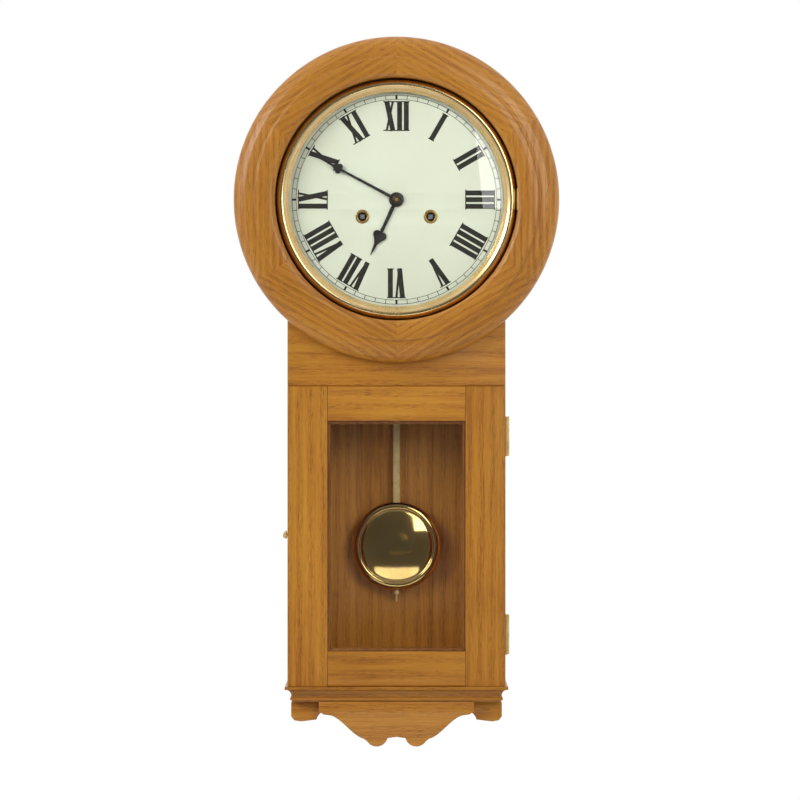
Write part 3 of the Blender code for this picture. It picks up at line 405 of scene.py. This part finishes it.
def outward(obj):
    """Merges doubled points and turns every face outwards."""
    bm = bmesh.new()
    bm.from_mesh(obj.data)
    bmesh.ops.remove_doubles(bm, verts=bm.verts, dist=1e-7)
    bmesh.ops.recalc_face_normals(bm, faces=bm.faces)
    bm.to_mesh(obj.data)
    bm.free()
    return obj


def rounded(points, radius, steps=4):
    """The outline with each corner rounded off to at most this radius."""
    result = []
    count = len(points)
    for i, corner in enumerate(points):
        here = Vector(corner)
        before = Vector(points[i - 1]) - here
        after = Vector(points[(i + 1) % count]) - here
        turn = before.angle(after, pi)
        if turn > radians(176) or min(before.length, after.length) < 1e-9:
            result.append(corner)
            continue
        reach = min(radius / tan(turn / 2), before.length * 0.45, after.length * 0.45)
        first = here + before.normalized() * reach
        last = here + after.normalized() * reach
        for k in range(steps + 1):
            t = k / steps
            bend = first * (1 - t) ** 2 + here * (2 * t * (1 - t)) + last * t**2
            result.append((bend.x, bend.y))
    return result


def lathe(name, profile, steps, centre=(0.0, 0.0), closed=True):
    """Turns (radius, y) points about the Y axis through centre (x, z).

    An open profile starts and ends on the axis.
    """
    x, z = centre
    points = []
    for i in range(steps):
        angle = 2 * pi * i / steps
        points += [(x + radius * cos(angle), y, z + radius * sin(angle)) for radius, y in profile]
    count = len(profile)
    faces = []
    for i in range(steps):
        here = i * count
        there = (i + 1) % steps * count
        for k in range(count if closed else count - 1):
            nxt = (k + 1) % count
            faces.append((here + k, here + nxt, there + nxt, there + k))
    return outward(new_mesh(name, points, faces))


def plate(name, outlines, y_front, y_back, edge=0.0, edge_steps=2):
    """A flat piece facing the front, from closed (x, z) outlines, with softly rounded edges."""
    curve = bpy.data.curves.new(name, "CURVE")
    curve.dimensions = "2D"
    curve.fill_mode = "BOTH"
    curve.extrude = (y_back - y_front) / 2 - edge
    curve.bevel_depth = edge
    curve.bevel_resolution = edge_steps if edge else 0
    curve.offset = -edge
    for outline in outlines:
        spline = curve.splines.new("POLY")
        spline.points.add(len(outline) - 1)
        spline.use_cyclic_u = True
        for point, (x, z) in zip(spline.points, outline):
            point.co = (x, z, 0.0, 1.0)
    helper = new_object(name + "_curve", curve)
    mesh = evaluated_mesh(helper)
    mesh.name = name
    bpy.data.objects.remove(helper)
    turn = Matrix.Rotation(pi / 2, 4, "X")
    mesh.transform(Matrix.Translation((0, (y_front + y_back) / 2, 0)) @ turn)
    return outward(new_object(name, mesh))


def prism(name, section, start, end, axis):
    """A bar of the given section, run along X or Z.

    The section's points are (z, y) for a bar along X, and (x, y) for one along Z.
    """
    count = len(section)
    points = []
    for along in (start, end):
        for across, y in section:
            points.append((along, y, across) if axis == "X" else (across, y, along))
    faces = [(k, (k + 1) % count, (k + 1) % count + count, k + count) for k in range(count)]
    faces.append(tuple(range(count)))
    faces.append(tuple(range(count, 2 * count)))
    return outward(new_mesh(name, points, faces))


def board(name, lowest, highest, edge):
    """A plain board with eased edges."""
    bm = bmesh.new()
    size = Vector(highest) - Vector(lowest)
    centre = (Vector(highest) + Vector(lowest)) / 2
    bmesh.ops.create_cube(bm, size=1.0, matrix=Matrix.LocRotScale(centre, None, size))
    bmesh.ops.bevel(bm, geom=list(bm.edges), offset=edge, segments=2, profile=0.5, affect="EDGES")
    return from_bmesh(name, bm)


def joined(name, objects):
    """Several meshes as one piece."""
    bm = bmesh.new()
    for obj in objects:
        bm.from_mesh(obj.data)
        bpy.data.objects.remove(obj)
    return from_bmesh(name, bm)


def circle(radius, count, centre=(0.0, 0.0)):
    x, z = centre
    angles = [2 * pi * i / count for i in range(count)]
    return [(x + radius * cos(a), z + radius * sin(a)) for a in angles]


def arc(centre, radius, start, end, count):
    angles = [radians(start + (end - start) * i / (count - 1)) for i in range(count)]
    return [(centre[0] + radius * cos(a), centre[1] + radius * sin(a)) for a in angles]


def mirrored(points):
    return [(-x, z) for x, z in reversed(points)]


def clockwise(points, degrees):
    """Points turned about the dial's centre, clockwise as the clock is looked at."""
    turn = radians(degrees)
    return [(x * cos(turn) + z * sin(turn), z * cos(turn) - x * sin(turn)) for x, z in points]


# ---------------------------------------------------------------- case


def ring_grain(mesh):
    """Lays the ring's grain along each of its glued segments, as corner coordinates."""
    layer = mesh.attributes.new("grain", "FLOAT_VECTOR", "CORNER")
    step = 2 * pi / RING_SEGMENTS
    for face in mesh.polygons:
        turn = atan2(face.center.z, face.center.x) + 2 * pi - pi / 2
        number = int(turn / step) % RING_SEGMENTS
        middle_turn = (number + 0.5) * step + pi / 2
        along = Vector((-sin(middle_turn), 0.0, cos(middle_turn)))
        across = Vector((cos(middle_turn), 0.0, sin(middle_turn)))
        for corner in face.loop_indices:
            point = mesh.vertices[mesh.loops[corner].vertex_index].co
            layer.data[corner].vector = (
                point.dot(along) + number * 0.41,
                point.dot(across) + number * 0.013,
                point.y,
            )


def make_ring():
    """The turned head ring: a crowned inner band, a step, and a band that rolls to the edge."""
    front = RING_FRONT
    section = [
        (RING_INNER, RING_BACK),
        (RING_INNER, front + 5.0 * MM),
        (135.6 * MM, front + 2.0 * MM),
        (139.0 * MM, front + 0.5 * MM),
        (145.0 * MM, front),
        (151.0 * MM, front + 0.2 * MM),
        (156.4 * MM, front + 1.0 * MM),
        (157.2 * MM, front + 3.4 * MM),
        (160.8 * MM, front + 3.4 * MM),
        (168.0 * MM, front + 5.0 * MM),
        (174.5 * MM, front + 8.6 * MM),
        (178.6 * MM, front + 13.4 * MM),
        (RING_OUTER, front + 18.0 * MM),
        (RING_OUTER, RING_BACK - 3.0 * MM),
        (RING_OUTER - 2.0 * MM, RING_BACK),
    ]
    ring = lathe("ring_moulding", rounded(section, 6 * MM, 3), 240)
    recess = ((130 * MM, -125 * MM, -14 * MM), (138.4 * MM, -90 * MM, 14 * MM))
    carve(ring, board("hinge_recess", *recess, 0.2 * MM))
    ring_grain(ring.data)
    finish = oak("ring_oak", "X", 0.2, attribute="grain")
    place_piece(ring, "case", finish, ["head_ring"], angle=28)


def make_seal():
    """The felt ring between head ring and head board, which closes the gap round the bezel."""
    back = low("head_board").y - 0.02 * MM
    front = RING_BACK + 0.02 * MM
    seal = plate("dust_seal", [circle(140 * MM, 160), circle(105 * MM, 160)], front, back)
    shader = Shader("seal_felt")
    fuzz = shader.noise(shader.coordinates(), 900.0, 3.0)
    tones = [(0.3, (0.170, 0.080, 0.024)), (0.7, (0.235, 0.118, 0.036))]
    shader.feed("Base Color", shader.ramp(fuzz, tones))
    shader.feed("Roughness", shader.ramp(fuzz, [(0.3, 0.85), (0.7, 1.0)]))
    shader.bump(fuzz, 0.0002, 0.6)
    place_piece(seal, "case", shader.material)


def make_boards():
    """The case's boards, with eased edges and each with its own cut of grain."""
    boards = (
        ("case_side_left", "Z", OAK),
        ("case_side_right", "Z", OAK),
        ("case_top", "X", OAK),
        ("case_floor", "X", INSIDE_OAK),
    )
    for number, (node, grain, tones) in enumerate(boards):
        piece = board(node + "_board", low(node), high(node), 0.6 * MM)
        finish = oak(node + "_oak", grain, 0.31 * number, tones)
        place_piece(piece, "case", finish, [node])


def make_back():
    """Three planks edge to edge, with a window for the hanger and holes for the screws."""
    node = "back_board"
    left, right = low(node).x, high(node).x
    bottom, top = low(node).z, high(node).z
    inner, outer = low(node).y, high(node).y
    window = [(-12, 84), (12, 84), (12, 114), (-12, 114)]
    window = rounded([(x * MM, z * MM) for x, z in window], 2.0 * MM)
    spots = [(sign * 114.7 * MM, z * MM) for sign in (-1, 1) for z in (100, -30, -190, -350, -510)]
    spots += [(x * MM, z * MM) for x in (-60, 60) for z in (121.5, -532.0)]
    planks = []
    third = (right - left) / 3
    for number in range(3):
        start = left + number * third
        stop = start + third
        outline = [(start, bottom), (stop, bottom), (stop, top), (start, top)]
        holes = [circle(3.6 * MM, 24, spot) for spot in spots if start < spot[0] < stop]
        if number == 1:
            holes.append(window)
        planks.append(plate(f"plank_{number}", [outline, *holes], inner, outer, 0.6 * MM, 1))
    back = joined("back_planks", planks)
    place_piece(back, "case", oak("back_oak", "Z", 1.7, INSIDE_OAK, coat=0.1), [node])
    make_back_screws(spots, outer)


def make_back_screws(spots, surface):
    """Countersunk screws. Each head is two halves with the slot between them, on a disc."""
    head = 3.2 * MM
    half_slot = 0.45 * MM
    spread = atan2(half_slot, sqrt(head**2 - half_slot**2))
    screws = []
    for number, (x, z) in enumerate(spots):
        turn = radians(37 * number)
        for side in (0, pi):
            begin, finish = turn + side + spread, turn + side + pi - spread
            rim = [begin + (finish - begin) * k / 14 for k in range(15)]
            outline = [(x + head * cos(a), z + head * sin(a)) for a in rim]
            faces = (surface - 2.0 * MM, surface - 0.3 * MM)
            screws.append(plate(f"half_{number}", [outline], *faces, 0.1 * MM, 1))
        disc = circle(head + 0.1 * MM, 24, (x, z))
        screws.append(plate(f"slot_{number}", [disc], surface - 3.0 * MM, surface - 1.4 * MM))
    piece = joined("back_screws", screws)
    place_piece(piece, "case", brass("screw_brass", 0.3, marks=200.0))


def make_head_board():
    """The board behind the ring, with a round opening behind the dial."""
    node = "head_board"
    corners = [
        (-HALF_WIDTH, low(node).z),
        (HALF_WIDTH, low(node).z),
        (HALF_WIDTH, high(node).z),
        (-HALF_WIDTH, high(node).z),
    ]
    outlines = [rounded(corners, 1.0 * MM), circle(103 * MM, 96)]
    piece = plate("head_board_front", outlines, low(node).y, high(node).y, 0.9 * MM)
    place_piece(piece, "case", oak("head_board_oak", "X", 2.3), [node])


def sweep_foot(name, section, half, front, back):
    """A moulding mitred round the case's front and two sides.

    Each point of the section is (out, z): how far it stands out from half and front, and its height.
    """
    points = []
    for out, z in section:
        points += [
            (-half - out, back, z),
            (-half - out, front - out, z),
            (half + out, front - out, z),
            (half + out, back, z),
        ]
    faces = []
    for level in range(len(section) - 1):
        for k in range(4):
            first = level * 4 + k
            second = level * 4 + (k + 1) % 4
            faces.append((first, second, second + 4, first + 4))
    faces.append((0, 1, 2, 3))
    last = (len(section) - 1) * 4
    faces.append((last, last + 1, last + 2, last + 3))
    return outward(new_mesh(name, points, faces))


def make_foot():
    """The base moulding: a fillet, a cove under it and a bead under that, in oak painted darker as the
    shade under the cove.
    """
    node = "base_moulding"
    top = high(node).z
    bottom = low(node).z
    fillet = top - 3.3 * MM
    section = [(-0.5 * MM, top), (0.0, top - 0.5 * MM), (0.0, top - 2.8 * MM), (-0.5 * MM, fillet)]
    cove_out, cove_down = 6.4 * MM, 8.2 * MM
    for k in range(11):
        turn = pi / 2 * k / 10
        section.append((-1.1 * MM - cove_out * sin(turn), fillet - cove_down * (1 - cos(turn))))
    bead = 1.7 * MM
    bead_z = fillet - cove_down - 0.5 * MM - bead
    for k in range(9):
        turn = pi / 2 - pi * k / 8
        section.append((-7.5 * MM + bead * cos(turn), bead_z + bead * sin(turn)))
    section += [(-7.7 * MM, bottom + 1.2 * MM), (-8.2 * MM, bottom)]
    piece = sweep_foot("base_moulding_run", section, high(node).x, low(node).y, high(node).y)
    # the darker oak tones are painted shade on the moulding
    finish = oak("base_moulding_oak_painted_shade", "X", 3.1, MOULDING_OAK_PAINTED_SHADE)
    place_piece(piece, "case", finish, [node], angle=30)


def make_apron():
    """The scalloped board: on each side a shoulder, a long ogee and a round lobe."""
    node = "bottom_apron"
    top = high(node).z
    ogee = []
    for i in range(15):
        share = i / 15
        fall = share * share * (3 - 2 * share)
        ogee.append(((76.0 - 42.5 * share) * MM, (-570.5 - 26.5 * fall) * MM))
    lobe = arc((22.0 * MM, -592.8 * MM), 12.5 * MM, -32, -165, 20)
    shoulder = [(86 * MM, top), (86 * MM, -566.0 * MM), (81 * MM, -569.8 * MM)]
    right = [*shoulder, *ogee, *lobe]
    outline = [*right, (0.0, -594.6 * MM), *mirrored(right)]
    piece = plate("bottom_apron_board", [outline], low(node).y, high(node).y, 0.9 * MM)
    place_piece(piece, "case", oak("bottom_apron_oak", "X", 4.4), [node])


def make_brackets():
    """The blocks under the case's corners, each with a quarter-round on its inner side."""
    for side, sign in (("left", -1), ("right", 1)):
        node = "corner_bracket_" + side
        top = high(node).z
        cove = arc((77 * MM, -579 * MM), 12 * MM, 12, 90, 14)
        outline = [
            (117 * MM, top),
            (117 * MM, -573 * MM),
            (113.5 * MM, -577.4 * MM),
            (106 * MM, -578.6 * MM),
            *cove,
            (77 * MM, top),
        ]
        if sign < 0:
            outline = mirrored(outline)
        outline = rounded(outline, 2 * MM, 2)
        piece = plate(node + "_block", [outline], low(node).y, high(node).y, 0.7 * MM)
        finish = oak(node + "_oak", "X", 5.2 + sign)
        place_piece(piece, "case", finish, [node])


# ---------------------------------------------------------------- trunk door


def make_door_frame():
    """Stiles and rails with an eased outer edge and a rebate behind for the glass."""
    edge = 1.6 * MM
    chamfer = 0.4 * MM
    step = DOOR_BACK - GLASS_REBATE
    for side, sign in (("left", -1), ("right", 1)):
        node = "door_stile_" + side
        section = [
            (sign * OPENING_HALF, DOOR_FRONT + chamfer),
            (sign * (OPENING_HALF + chamfer), DOOR_FRONT),
            (sign * HALF_WIDTH, DOOR_FRONT),
            (sign * HALF_WIDTH, DOOR_BACK),
            (sign * (OPENING_HALF + GLASS_LAP), DOOR_BACK),
            (sign * (OPENING_HALF + GLASS_LAP), step),
            (sign * OPENING_HALF, step),
        ]
        section = rounded(section, edge, 3)
        piece = prism(node + "_bar", section, low(node).z, high(node).z, "Z")
        finish = oak(node + "_oak", "Z", 6.3 + 0.9 * sign)
        place_piece(piece, "trunk_door", finish, [node], angle=30)
    rails = (
        ("door_top_rail", OPENING_TOP, high("door_top_rail").z, 1),
        ("door_bottom_rail", OPENING_BOTTOM, low("door_bottom_rail").z, -1),
    )
    for number, (node, inner, outer, sign) in enumerate(rails):
        section = [
            (inner, DOOR_FRONT),
            (outer, DOOR_FRONT),
            (outer, DOOR_BACK),
            (inner + sign * GLASS_LAP, DOOR_BACK),
            (inner + sign * GLASS_LAP, step),
            (inner, step),
        ]
        section = rounded(section, edge, 3)
        piece = prism(node + "_bar", section, low(node).x, high(node).x, "X")
        finish = oak(node + "_oak", "X", 8.7 + 1.3 * number)
        place_piece(piece, "trunk_door", finish, [node], angle=30)


def make_door_bead():
    """A mitred quarter-round that frames the door's glass, sunk below the door's face, in oak painted
    darker as the shade at the window's edges.
    """
    width = 3.2 * MM
    front = DOOR_FRONT + 4.0 * MM
    back = DOOR_BACK - GLASS_REBATE
    section = [(0.0, back), (0.0, front)]
    for k in range(1, 6):
        turn = pi / 2 * k / 5
        section.append((width * sin(turn), front + width * (1 - cos(turn))))
    section.append((width, back))
    points = []
    for inset, y in section:
        half = OPENING_HALF - FIT - inset
        top = OPENING_TOP - FIT - inset
        bottom = OPENING_BOTTOM + FIT + inset
        points += [(-half, y, bottom), (half, y, bottom), (half, y, top), (-half, y, top)]
    faces = []
    count = len(section)
    for level in range(count):
        for k in range(4):
            first = level * 4 + k
            second = level * 4 + (k + 1) % 4
            up = (level + 1) % count * 4
            faces.append((first, second, up + (k + 1) % 4, up + k))
    bead = outward(new_mesh("door_glass_bead", points, faces))
    # the bead's dark oak tones are painted shade at the window's edges
    place_piece(bead, "trunk_door", oak("door_bead_oak_painted_shade", "Z", 9.9, BEAD_OAK_PAINTED_SHADE), angle=30)


# ---------------------------------------------------------------- bezel and dial


def make_bezel():
    """The brass rim: a slope down to the glass inside, and a rounder one outside."""
    front = BEZEL_FRONT
    back = BEZEL_BACK
    section = [
        (118.5 * MM, front + 8.6 * MM),
        (118.5 * MM, front + 6.6 * MM),
        (119.6 * MM, front + 5.4 * MM),
        (122.8 * MM, front + 2.0 * MM),
        (125.6 * MM, front + 0.3 * MM),
        (127.4 * MM, front),
        (129.2 * MM, front + 0.5 * MM),
        (131.4 * MM, front + 2.8 * MM),
        (BEZEL_OUTER, front + 6.6 * MM),
        (BEZEL_OUTER, back),
        (124.6 * MM, back),
        (124.6 * MM, front + 8.6 * MM),
    ]
    ring = lathe("bezel_rim", rounded(section, 5.0 * MM, 6), 240)
    tones = ((0.93, 0.71, 0.36), (0.70, 0.47, 0.18))
    finish = brass("bezel_brass", 0.18, *tones, marks=35.0, wear=0.5)
    place_piece(ring, "bezel", finish, ["bezel_ring"], angle=40)


def make_bezel_glass():
    """A shallow domed glass."""
    rim = 124.2 * MM
    rise = 8.0 * MM
    sphere = (rim**2 + rise**2) / (2 * rise)
    back = high("bezel_glass").y
    thickness = 1.8 * MM
    radii = [rim * k / 28 for k in range(28, 0, -1)]
    rises = [sqrt(sphere**2 - r * r) - (sphere - rise) for r in radii]
    rear = [(r, back - h) for r, h in zip(radii, rises)]
    front = [(r, back - thickness - h) for r, h in zip(radii, rises)]
    profile = [(0.0, back - rise), *reversed(rear), *front, (0.0, back - thickness - rise)]
    pane = lathe("bezel_glass_dome", profile, 128, closed=False)
    place_piece(pane, "bezel", clear_glass("bezel_glass_clear"), ["bezel_glass"], angle=50)


def make_dial():
    """The enamelled plate, and a brass collar in each of its two winding holes."""
    arbors = [middle("time_winding_arbor"), middle("strike_winding_arbor")]
    centres = [(0.0, 0.0)] + [(arbor.x, arbor.z) for arbor in arbors]
    outlines = [circle(DIAL_RADIUS, 160)] + [circle(6.5 * MM, 48, centre) for centre in centres]
    face = plate("dial_face", outlines, DIAL_FACE, high("dial_plate").y, 0.15 * MM)
    place_piece(face, "case", dial_enamel("dial_cream"), ["dial_plate"])
    profile = [
        (5.0 * MM, DIAL_FACE + 0.9 * MM),
        (5.0 * MM, DIAL_FACE - 0.2 * MM),
        (5.6 * MM, DIAL_FACE - 0.75 * MM),
        (7.2 * MM, DIAL_FACE - 0.7 * MM),
        (8.0 * MM, DIAL_FACE - 0.05 * MM),
        (6.4 * MM, DIAL_FACE - 0.05 * MM),
        (6.4 * MM, DIAL_FACE + 0.9 * MM),
    ]
    profile = rounded(profile, 0.4 * MM, 2)
    collars = [
        lathe(f"collar_{number}", profile, 48, centre) for number, centre in enumerate(centres[1:])
    ]
    collar = joined("winding_hole_collars", collars)
    place_piece(collar, "case", brass("collar_brass", 0.2))


def stroke(start, end, width):
    """A straight stroke as four corners, from one point to another."""
    a = Vector(start)
    b = Vector(end)
    direction = (b - a).normalized()
    side = Vector((-direction.y, direction.x)) * width / 2
    return [tuple(a - side), tuple(b - side), tuple(b + side), tuple(a + side)]


def numeral_strokes(text):
    """A Roman numeral's strokes about its own middle: heavy stems, hairlines, joined serifs."""
    top = (NUMERAL_OUTER - NUMERAL_INNER) / 2
    gap = NUMERAL_GAP
    left = -(sum(LETTER_WIDTHS[c] for c in text) + gap * (len(text) - 1)) / 2
    strokes = []
    for letter in text:
        width = LETTER_WIDTHS[letter]
        centre = left + width / 2
        out = width / 2 - STEM / 2
        if letter == "I":
            strokes.append(stroke((centre, -top), (centre, top), STEM))
            bars = [(centre, top), (centre, -top)]
            reach = STEM / 2 + gap / 2 + 0.1 * MM
        elif letter == "V":
            strokes.append(stroke((centre - out, top), (centre + 0.4 * MM, -top), STEM))
            strokes.append(stroke((centre + out + 0.8 * MM, top), (centre + 0.8 * MM, -top), HAIR))
            bars = [(centre, top)]
            reach = width / 2 + gap / 2
        else:
            strokes.append(stroke((centre - out, top), (centre + out, -top), STEM))
            strokes.append(stroke((centre + out, top), (centre - out, -top), HAIR))
            bars = [(centre, top), (centre, -top)]
            reach = width / 2 + gap / 2
        for x, z in bars:
            inner = z - SERIF / 2 if z > 0 else z + SERIF / 2
            strokes.append(stroke((x - reach, inner), (x + reach, inner), SERIF))
        left += width + gap
    return strokes


def make_numerals():
    """Raised ink: twelve Roman numerals, their feet towards the centre."""
    words = ("I", "II", "III", "IIII", "V", "VI", "VII", "VIII", "IX", "X", "XI", "XII")
    radius = (NUMERAL_OUTER + NUMERAL_INNER) / 2
    strokes = []
    for hour, word in enumerate(words, start=1):
        for number, corners in enumerate(numeral_strokes(word)):
            points = clockwise([(x, radius + z) for x, z in corners], 30 * hour)
            lift = 0.01 * MM * (number % 3)  # keeps crossing strokes off each other's faces
            strokes.append(plate(f"stroke_{hour}_{number}", [points], INK_FRONT - lift, INK_BACK))
    piece = joined("dial_numerals", strokes)
    place_piece(piece, "case", printed_ink("numeral_ink"))


def make_minute_track():
    """Two fine circles with a tick each minute and a bolder one each five minutes."""
    parts = []
    half = 0.28 * MM
    for number, radius in enumerate((TRACK_INNER, TRACK_OUTER)):
        outlines = [circle(radius + half, 200), circle(radius - half, 200)]
        parts.append(plate(f"circle_{number}", outlines, INK_FRONT, INK_BACK))
    for minute in range(60):
        bold = minute % 5 == 0
        half = (1.15 if bold else 0.35) * MM
        inner = TRACK_INNER - (0.4 * MM if bold else 0.0)
        corners = [(-half, inner), (half, inner), (half, TRACK_OUTER), (-half, TRACK_OUTER)]
        points = clockwise(corners, 6 * minute)
        parts.append(plate(f"tick_{minute}", [points], INK_FRONT - 0.02 * MM, INK_BACK))
    piece = joined("dial_minute_track", parts)
    place_piece(piece, "case", printed_ink("track_ink"))


# ---------------------------------------------------------------- hands


def spade(length, hub, spade_at, spade_radius, stem):
    """A spade hand that points up: hub, tapering stem, heart-shaped spade and long point."""
    lobe_centre = (spade_radius * 0.46, spade_at - spade_radius * 0.35)
    lobes = arc(lobe_centre, spade_radius * 0.62, -115, 40, 12)
    right = [
        *arc((0.0, 0.0), hub, 0, 76, 12),
        (stem, hub + 3.5 * MM),
        (stem * 0.72, spade_at - spade_radius * 1.9),
        (stem * 0.95, spade_at - spade_radius * 1.15),
        *lobes,
        (spade_radius * 0.62, spade_at + spade_radius * 0.42),
        (spade_radius * 0.26, spade_at + spade_radius * 1.15),
        (stem * 0.55, spade_at + spade_radius * 2.1),
        (0.35 * MM, length),
    ]
    under = arc((0.0, 0.0), hub, 180, 360, 24)[1:-1]
    return [*right, *mirrored(right), *under]


def make_hands():
    """Both hands. Their sizes, in millimetres, are in the order that spade takes them."""
    hands = (
        ("minute_hand", "centre", MINUTE_HAND_ANGLE, (105, 6.4, 74.0, 5.4, 1.75), 1.9),
        ("hour_hand", "hour", HOUR_HAND_ANGLE, (68, 8.2, 46.0, 7.2, 2.3), 4.7),
    )
    for node, body, angle, sizes, bore in hands:
        outline = clockwise(spade(*(size * MM for size in sizes)), angle)
        outlines = [outline, circle(bore * MM, 32)]
        hand = plate(node + "_spade", outlines, low(node).y, high(node).y, 0.22 * MM)
        place_piece(hand, body, black_lacquer(node + "_black"), [node], angle=25)


# ---------------------------------------------------------------- pendulum


def make_bob():
    """A spun brass bob: a domed face inside a raised rim, on both sides."""
    half = (high("pendulum_bob").y - low("pendulum_bob").y) / 2
    y = BOB_CENTRE.y
    face = []
    dome = 40 * MM
    drop = 0.58 * half
    sphere = (dome**2 + drop**2) / (2 * drop)
    for k in range(17):
        radius = dome * k / 16
        face.append((radius, half - sphere + sqrt(sphere**2 - radius**2)))
    rim = [(40.7, 3.0), (41.4, 3.3), (42.2, 4.1), (43.0, 4.55), (44.0, 4.65), (45.2, 4.45)]
    rim += [(46.4, 4.05), (47.5, 3.45), (48.5, 2.65), (49.3, 1.7), (49.8, 0.9), (50.0, 0.3)]
    face += [(radius * MM, depth * MM) for radius, depth in rim]
    front = [(r, y - depth) for r, depth in face]
    back = [(r, y + depth) for r, depth in reversed(face)]
    bob = lathe("pendulum_bob_disc", [*front, *back], 144, (0.0, BOB_CENTRE.z), closed=False)
    half_slot = Vector((4 * MM, 1.8 * MM, 60 * MM))
    middle_slot = Vector((0.0, y, BOB_CENTRE.z))
    carve(bob, board("rod_slot", middle_slot - half_slot, middle_slot + half_slot, 0.1 * MM))
    finish = brass("bob_brass", 0.07, marks=25.0, wear=0.2)
    place_piece(bob, "bob", finish, ["pendulum_bob"], angle=40)


# ---------------------------------------------------------------- carried-over solids


def paint(nodes, material):
    for name in nodes:
        wear_material(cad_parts[name].data, material, 35)


def nodes_with(*endings):
    return sorted(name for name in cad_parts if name.endswith(endings))


def finish_carried_nodes():
    paint(nodes_with("_wheel", "fly"), brass("wheel_brass", 0.24))
    plates = ["back_plate", "front_plate", "suspension_post"]
    paint(plates, brass("plate_brass", 0.3, marks=40.0))
    fittings = sorted(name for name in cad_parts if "hinge" in name)
    fittings += ["door_hook", "door_hook_pin", "hook_pivot_screw"]
    tones = ((0.90, 0.67, 0.31), (0.62, 0.42, 0.15))
    paint(fittings, brass("fitting_brass", 0.38, *tones, marks=90.0))
    rod = brass("rod_brass", 0.3, (0.90, 0.68, 0.34), marks=50.0)
    paint(["pendulum_rod", "rating_nut", "hammer"], rod)
    bronze = ((0.16, 0.11, 0.06), (0.08, 0.055, 0.03))
    paint(["hand_nut"], brass("nut_bronze", 0.35, *bronze, marks=400.0))
    bright = nodes_with("_arbor", "_click") + ["anchor_and_crutch", "suspension_spring"]
    paint(bright, steel("bright_steel"))
    springs = ["time_mainspring", "strike_mainspring"]
    paint(springs, steel("spring_steel", (0.20, 0.24, 0.33), (0.11, 0.12, 0.17)))
    paint(["gong_coil"], steel("gong_steel", (0.13, 0.15, 0.21), (0.07, 0.08, 0.11)))
    plated = steel("plated_steel", (0.52, 0.51, 0.48), (0.34, 0.33, 0.31))
    paint(["gong_base", "hanger_plate"], plated)
    paint(["door_glass"], clear_glass("door_glass_clear"))


# ---------------------------------------------------------------- stage, lights and camera


def make_stage():
    """A pale floor far below the hanging clock, fading into the pale room."""
    floor = plate("studio_floor", [circle(FLOOR_RADIUS, 96)], -0.01, 0.0)
    lower = Matrix.Translation((0.0, 0.0, FLOOR_LEVEL))
    floor.data.transform(lower @ Matrix.Rotation(-pi / 2, 4, "X"))
    shader = Shader("studio_paint")
    place = shader.coordinates()
    clouds = shader.noise(place, 3.0, 2.0)
    shader.feed("Base Color", shader.ramp(clouds, [(0.3, 0.90), (0.7, 0.92)]))
    shader.set(Roughness=0.9)
    away = shader.node("VectorMath", operation="LENGTH")
    shader.link(place, away.inputs[0])
    shader.feed("Alpha", shader.map_range(away.outputs["Value"], FLOOR_FADE, (1.0, 0.0)))
    floor.data.materials.append(shader.material)


def area_light(name, place, target, size, power):
    data = bpy.data.lights.new(name, "AREA")
    data.shape = "RECTANGLE"
    data.size, data.size_y = size
    data.energy = power
    lamp = new_object(name, data)
    lamp.location = place
    lamp.rotation_euler = (Vector(target) - Vector(place)).to_track_quat("-Z", "Y").to_euler()


def make_room():
    """A white room that lights the clock softly, darker in front of it."""
    room = Shader("studio_world", bpy.data.worlds, "Background")
    apart = room.node("SeparateXYZ")
    room.link(room.node("TexCoord").outputs["Generated"], apart.inputs[0])
    shade = room.map_range(apart.outputs["Y"], ROOM_TURN, ROOM_BRIGHTNESS)
    seen = room.node("Mix")
    room.link(room.node("LightPath").outputs["Is Camera Ray"], seen.inputs[0])
    room.link(shade, seen.inputs[2])
    seen.inputs[3].default_value = 1.0
    room.set(Color=(1.0, 1.0, 1.0, 1.0))
    room.feed("Strength", seen.outputs[0])
    bpy.context.scene.world = room.material


def make_lights():
    """A key from the left, a fill from the right, and a strip below that the bob mirrors."""
    target = (0.0, -0.1, -0.2)
    area_light("key_light", (-2.6, -2.1, 1.2), target, (1.5, 1.5), 50.0)
    area_light("fill_light", (1.08, -2.2, 0.64), target, (1.15, 1.2), 18.0)
    bob_target = (0.0, 0.0, -0.39)
    area_light("low_light", (0.0, -1.9, -1.22), bob_target, (1.25, 0.34), 2.4)
    make_room()
    bpy.context.scene.view_settings.view_transform = "Standard"


def make_camera():
    """Square to the clock's front, from far enough away to flatten it."""
    data = bpy.data.cameras.new("camera")
    data.lens = data.sensor_width * CAMERA_DISTANCE / VIEW_WIDTH
    data.clip_end = 20.0
    camera = new_object("camera", data)
    camera.location = (VIEW_CENTRE[0], RING_FRONT - CAMERA_DISTANCE, VIEW_CENTRE[1])
    camera.rotation_euler = (pi / 2, 0.0, 0.0)
    bpy.context.scene.camera = camera


make_camera()
make_ring()
make_seal()
make_boards()
make_back()
make_head_board()
make_foot()
make_apron()
make_brackets()
make_door_frame()
make_door_bead()
make_bezel()
make_bezel_glass()
make_dial()
make_numerals()
make_minute_track()
make_hands()
make_bob()
finish_carried_nodes()
make_stage()
make_lights()
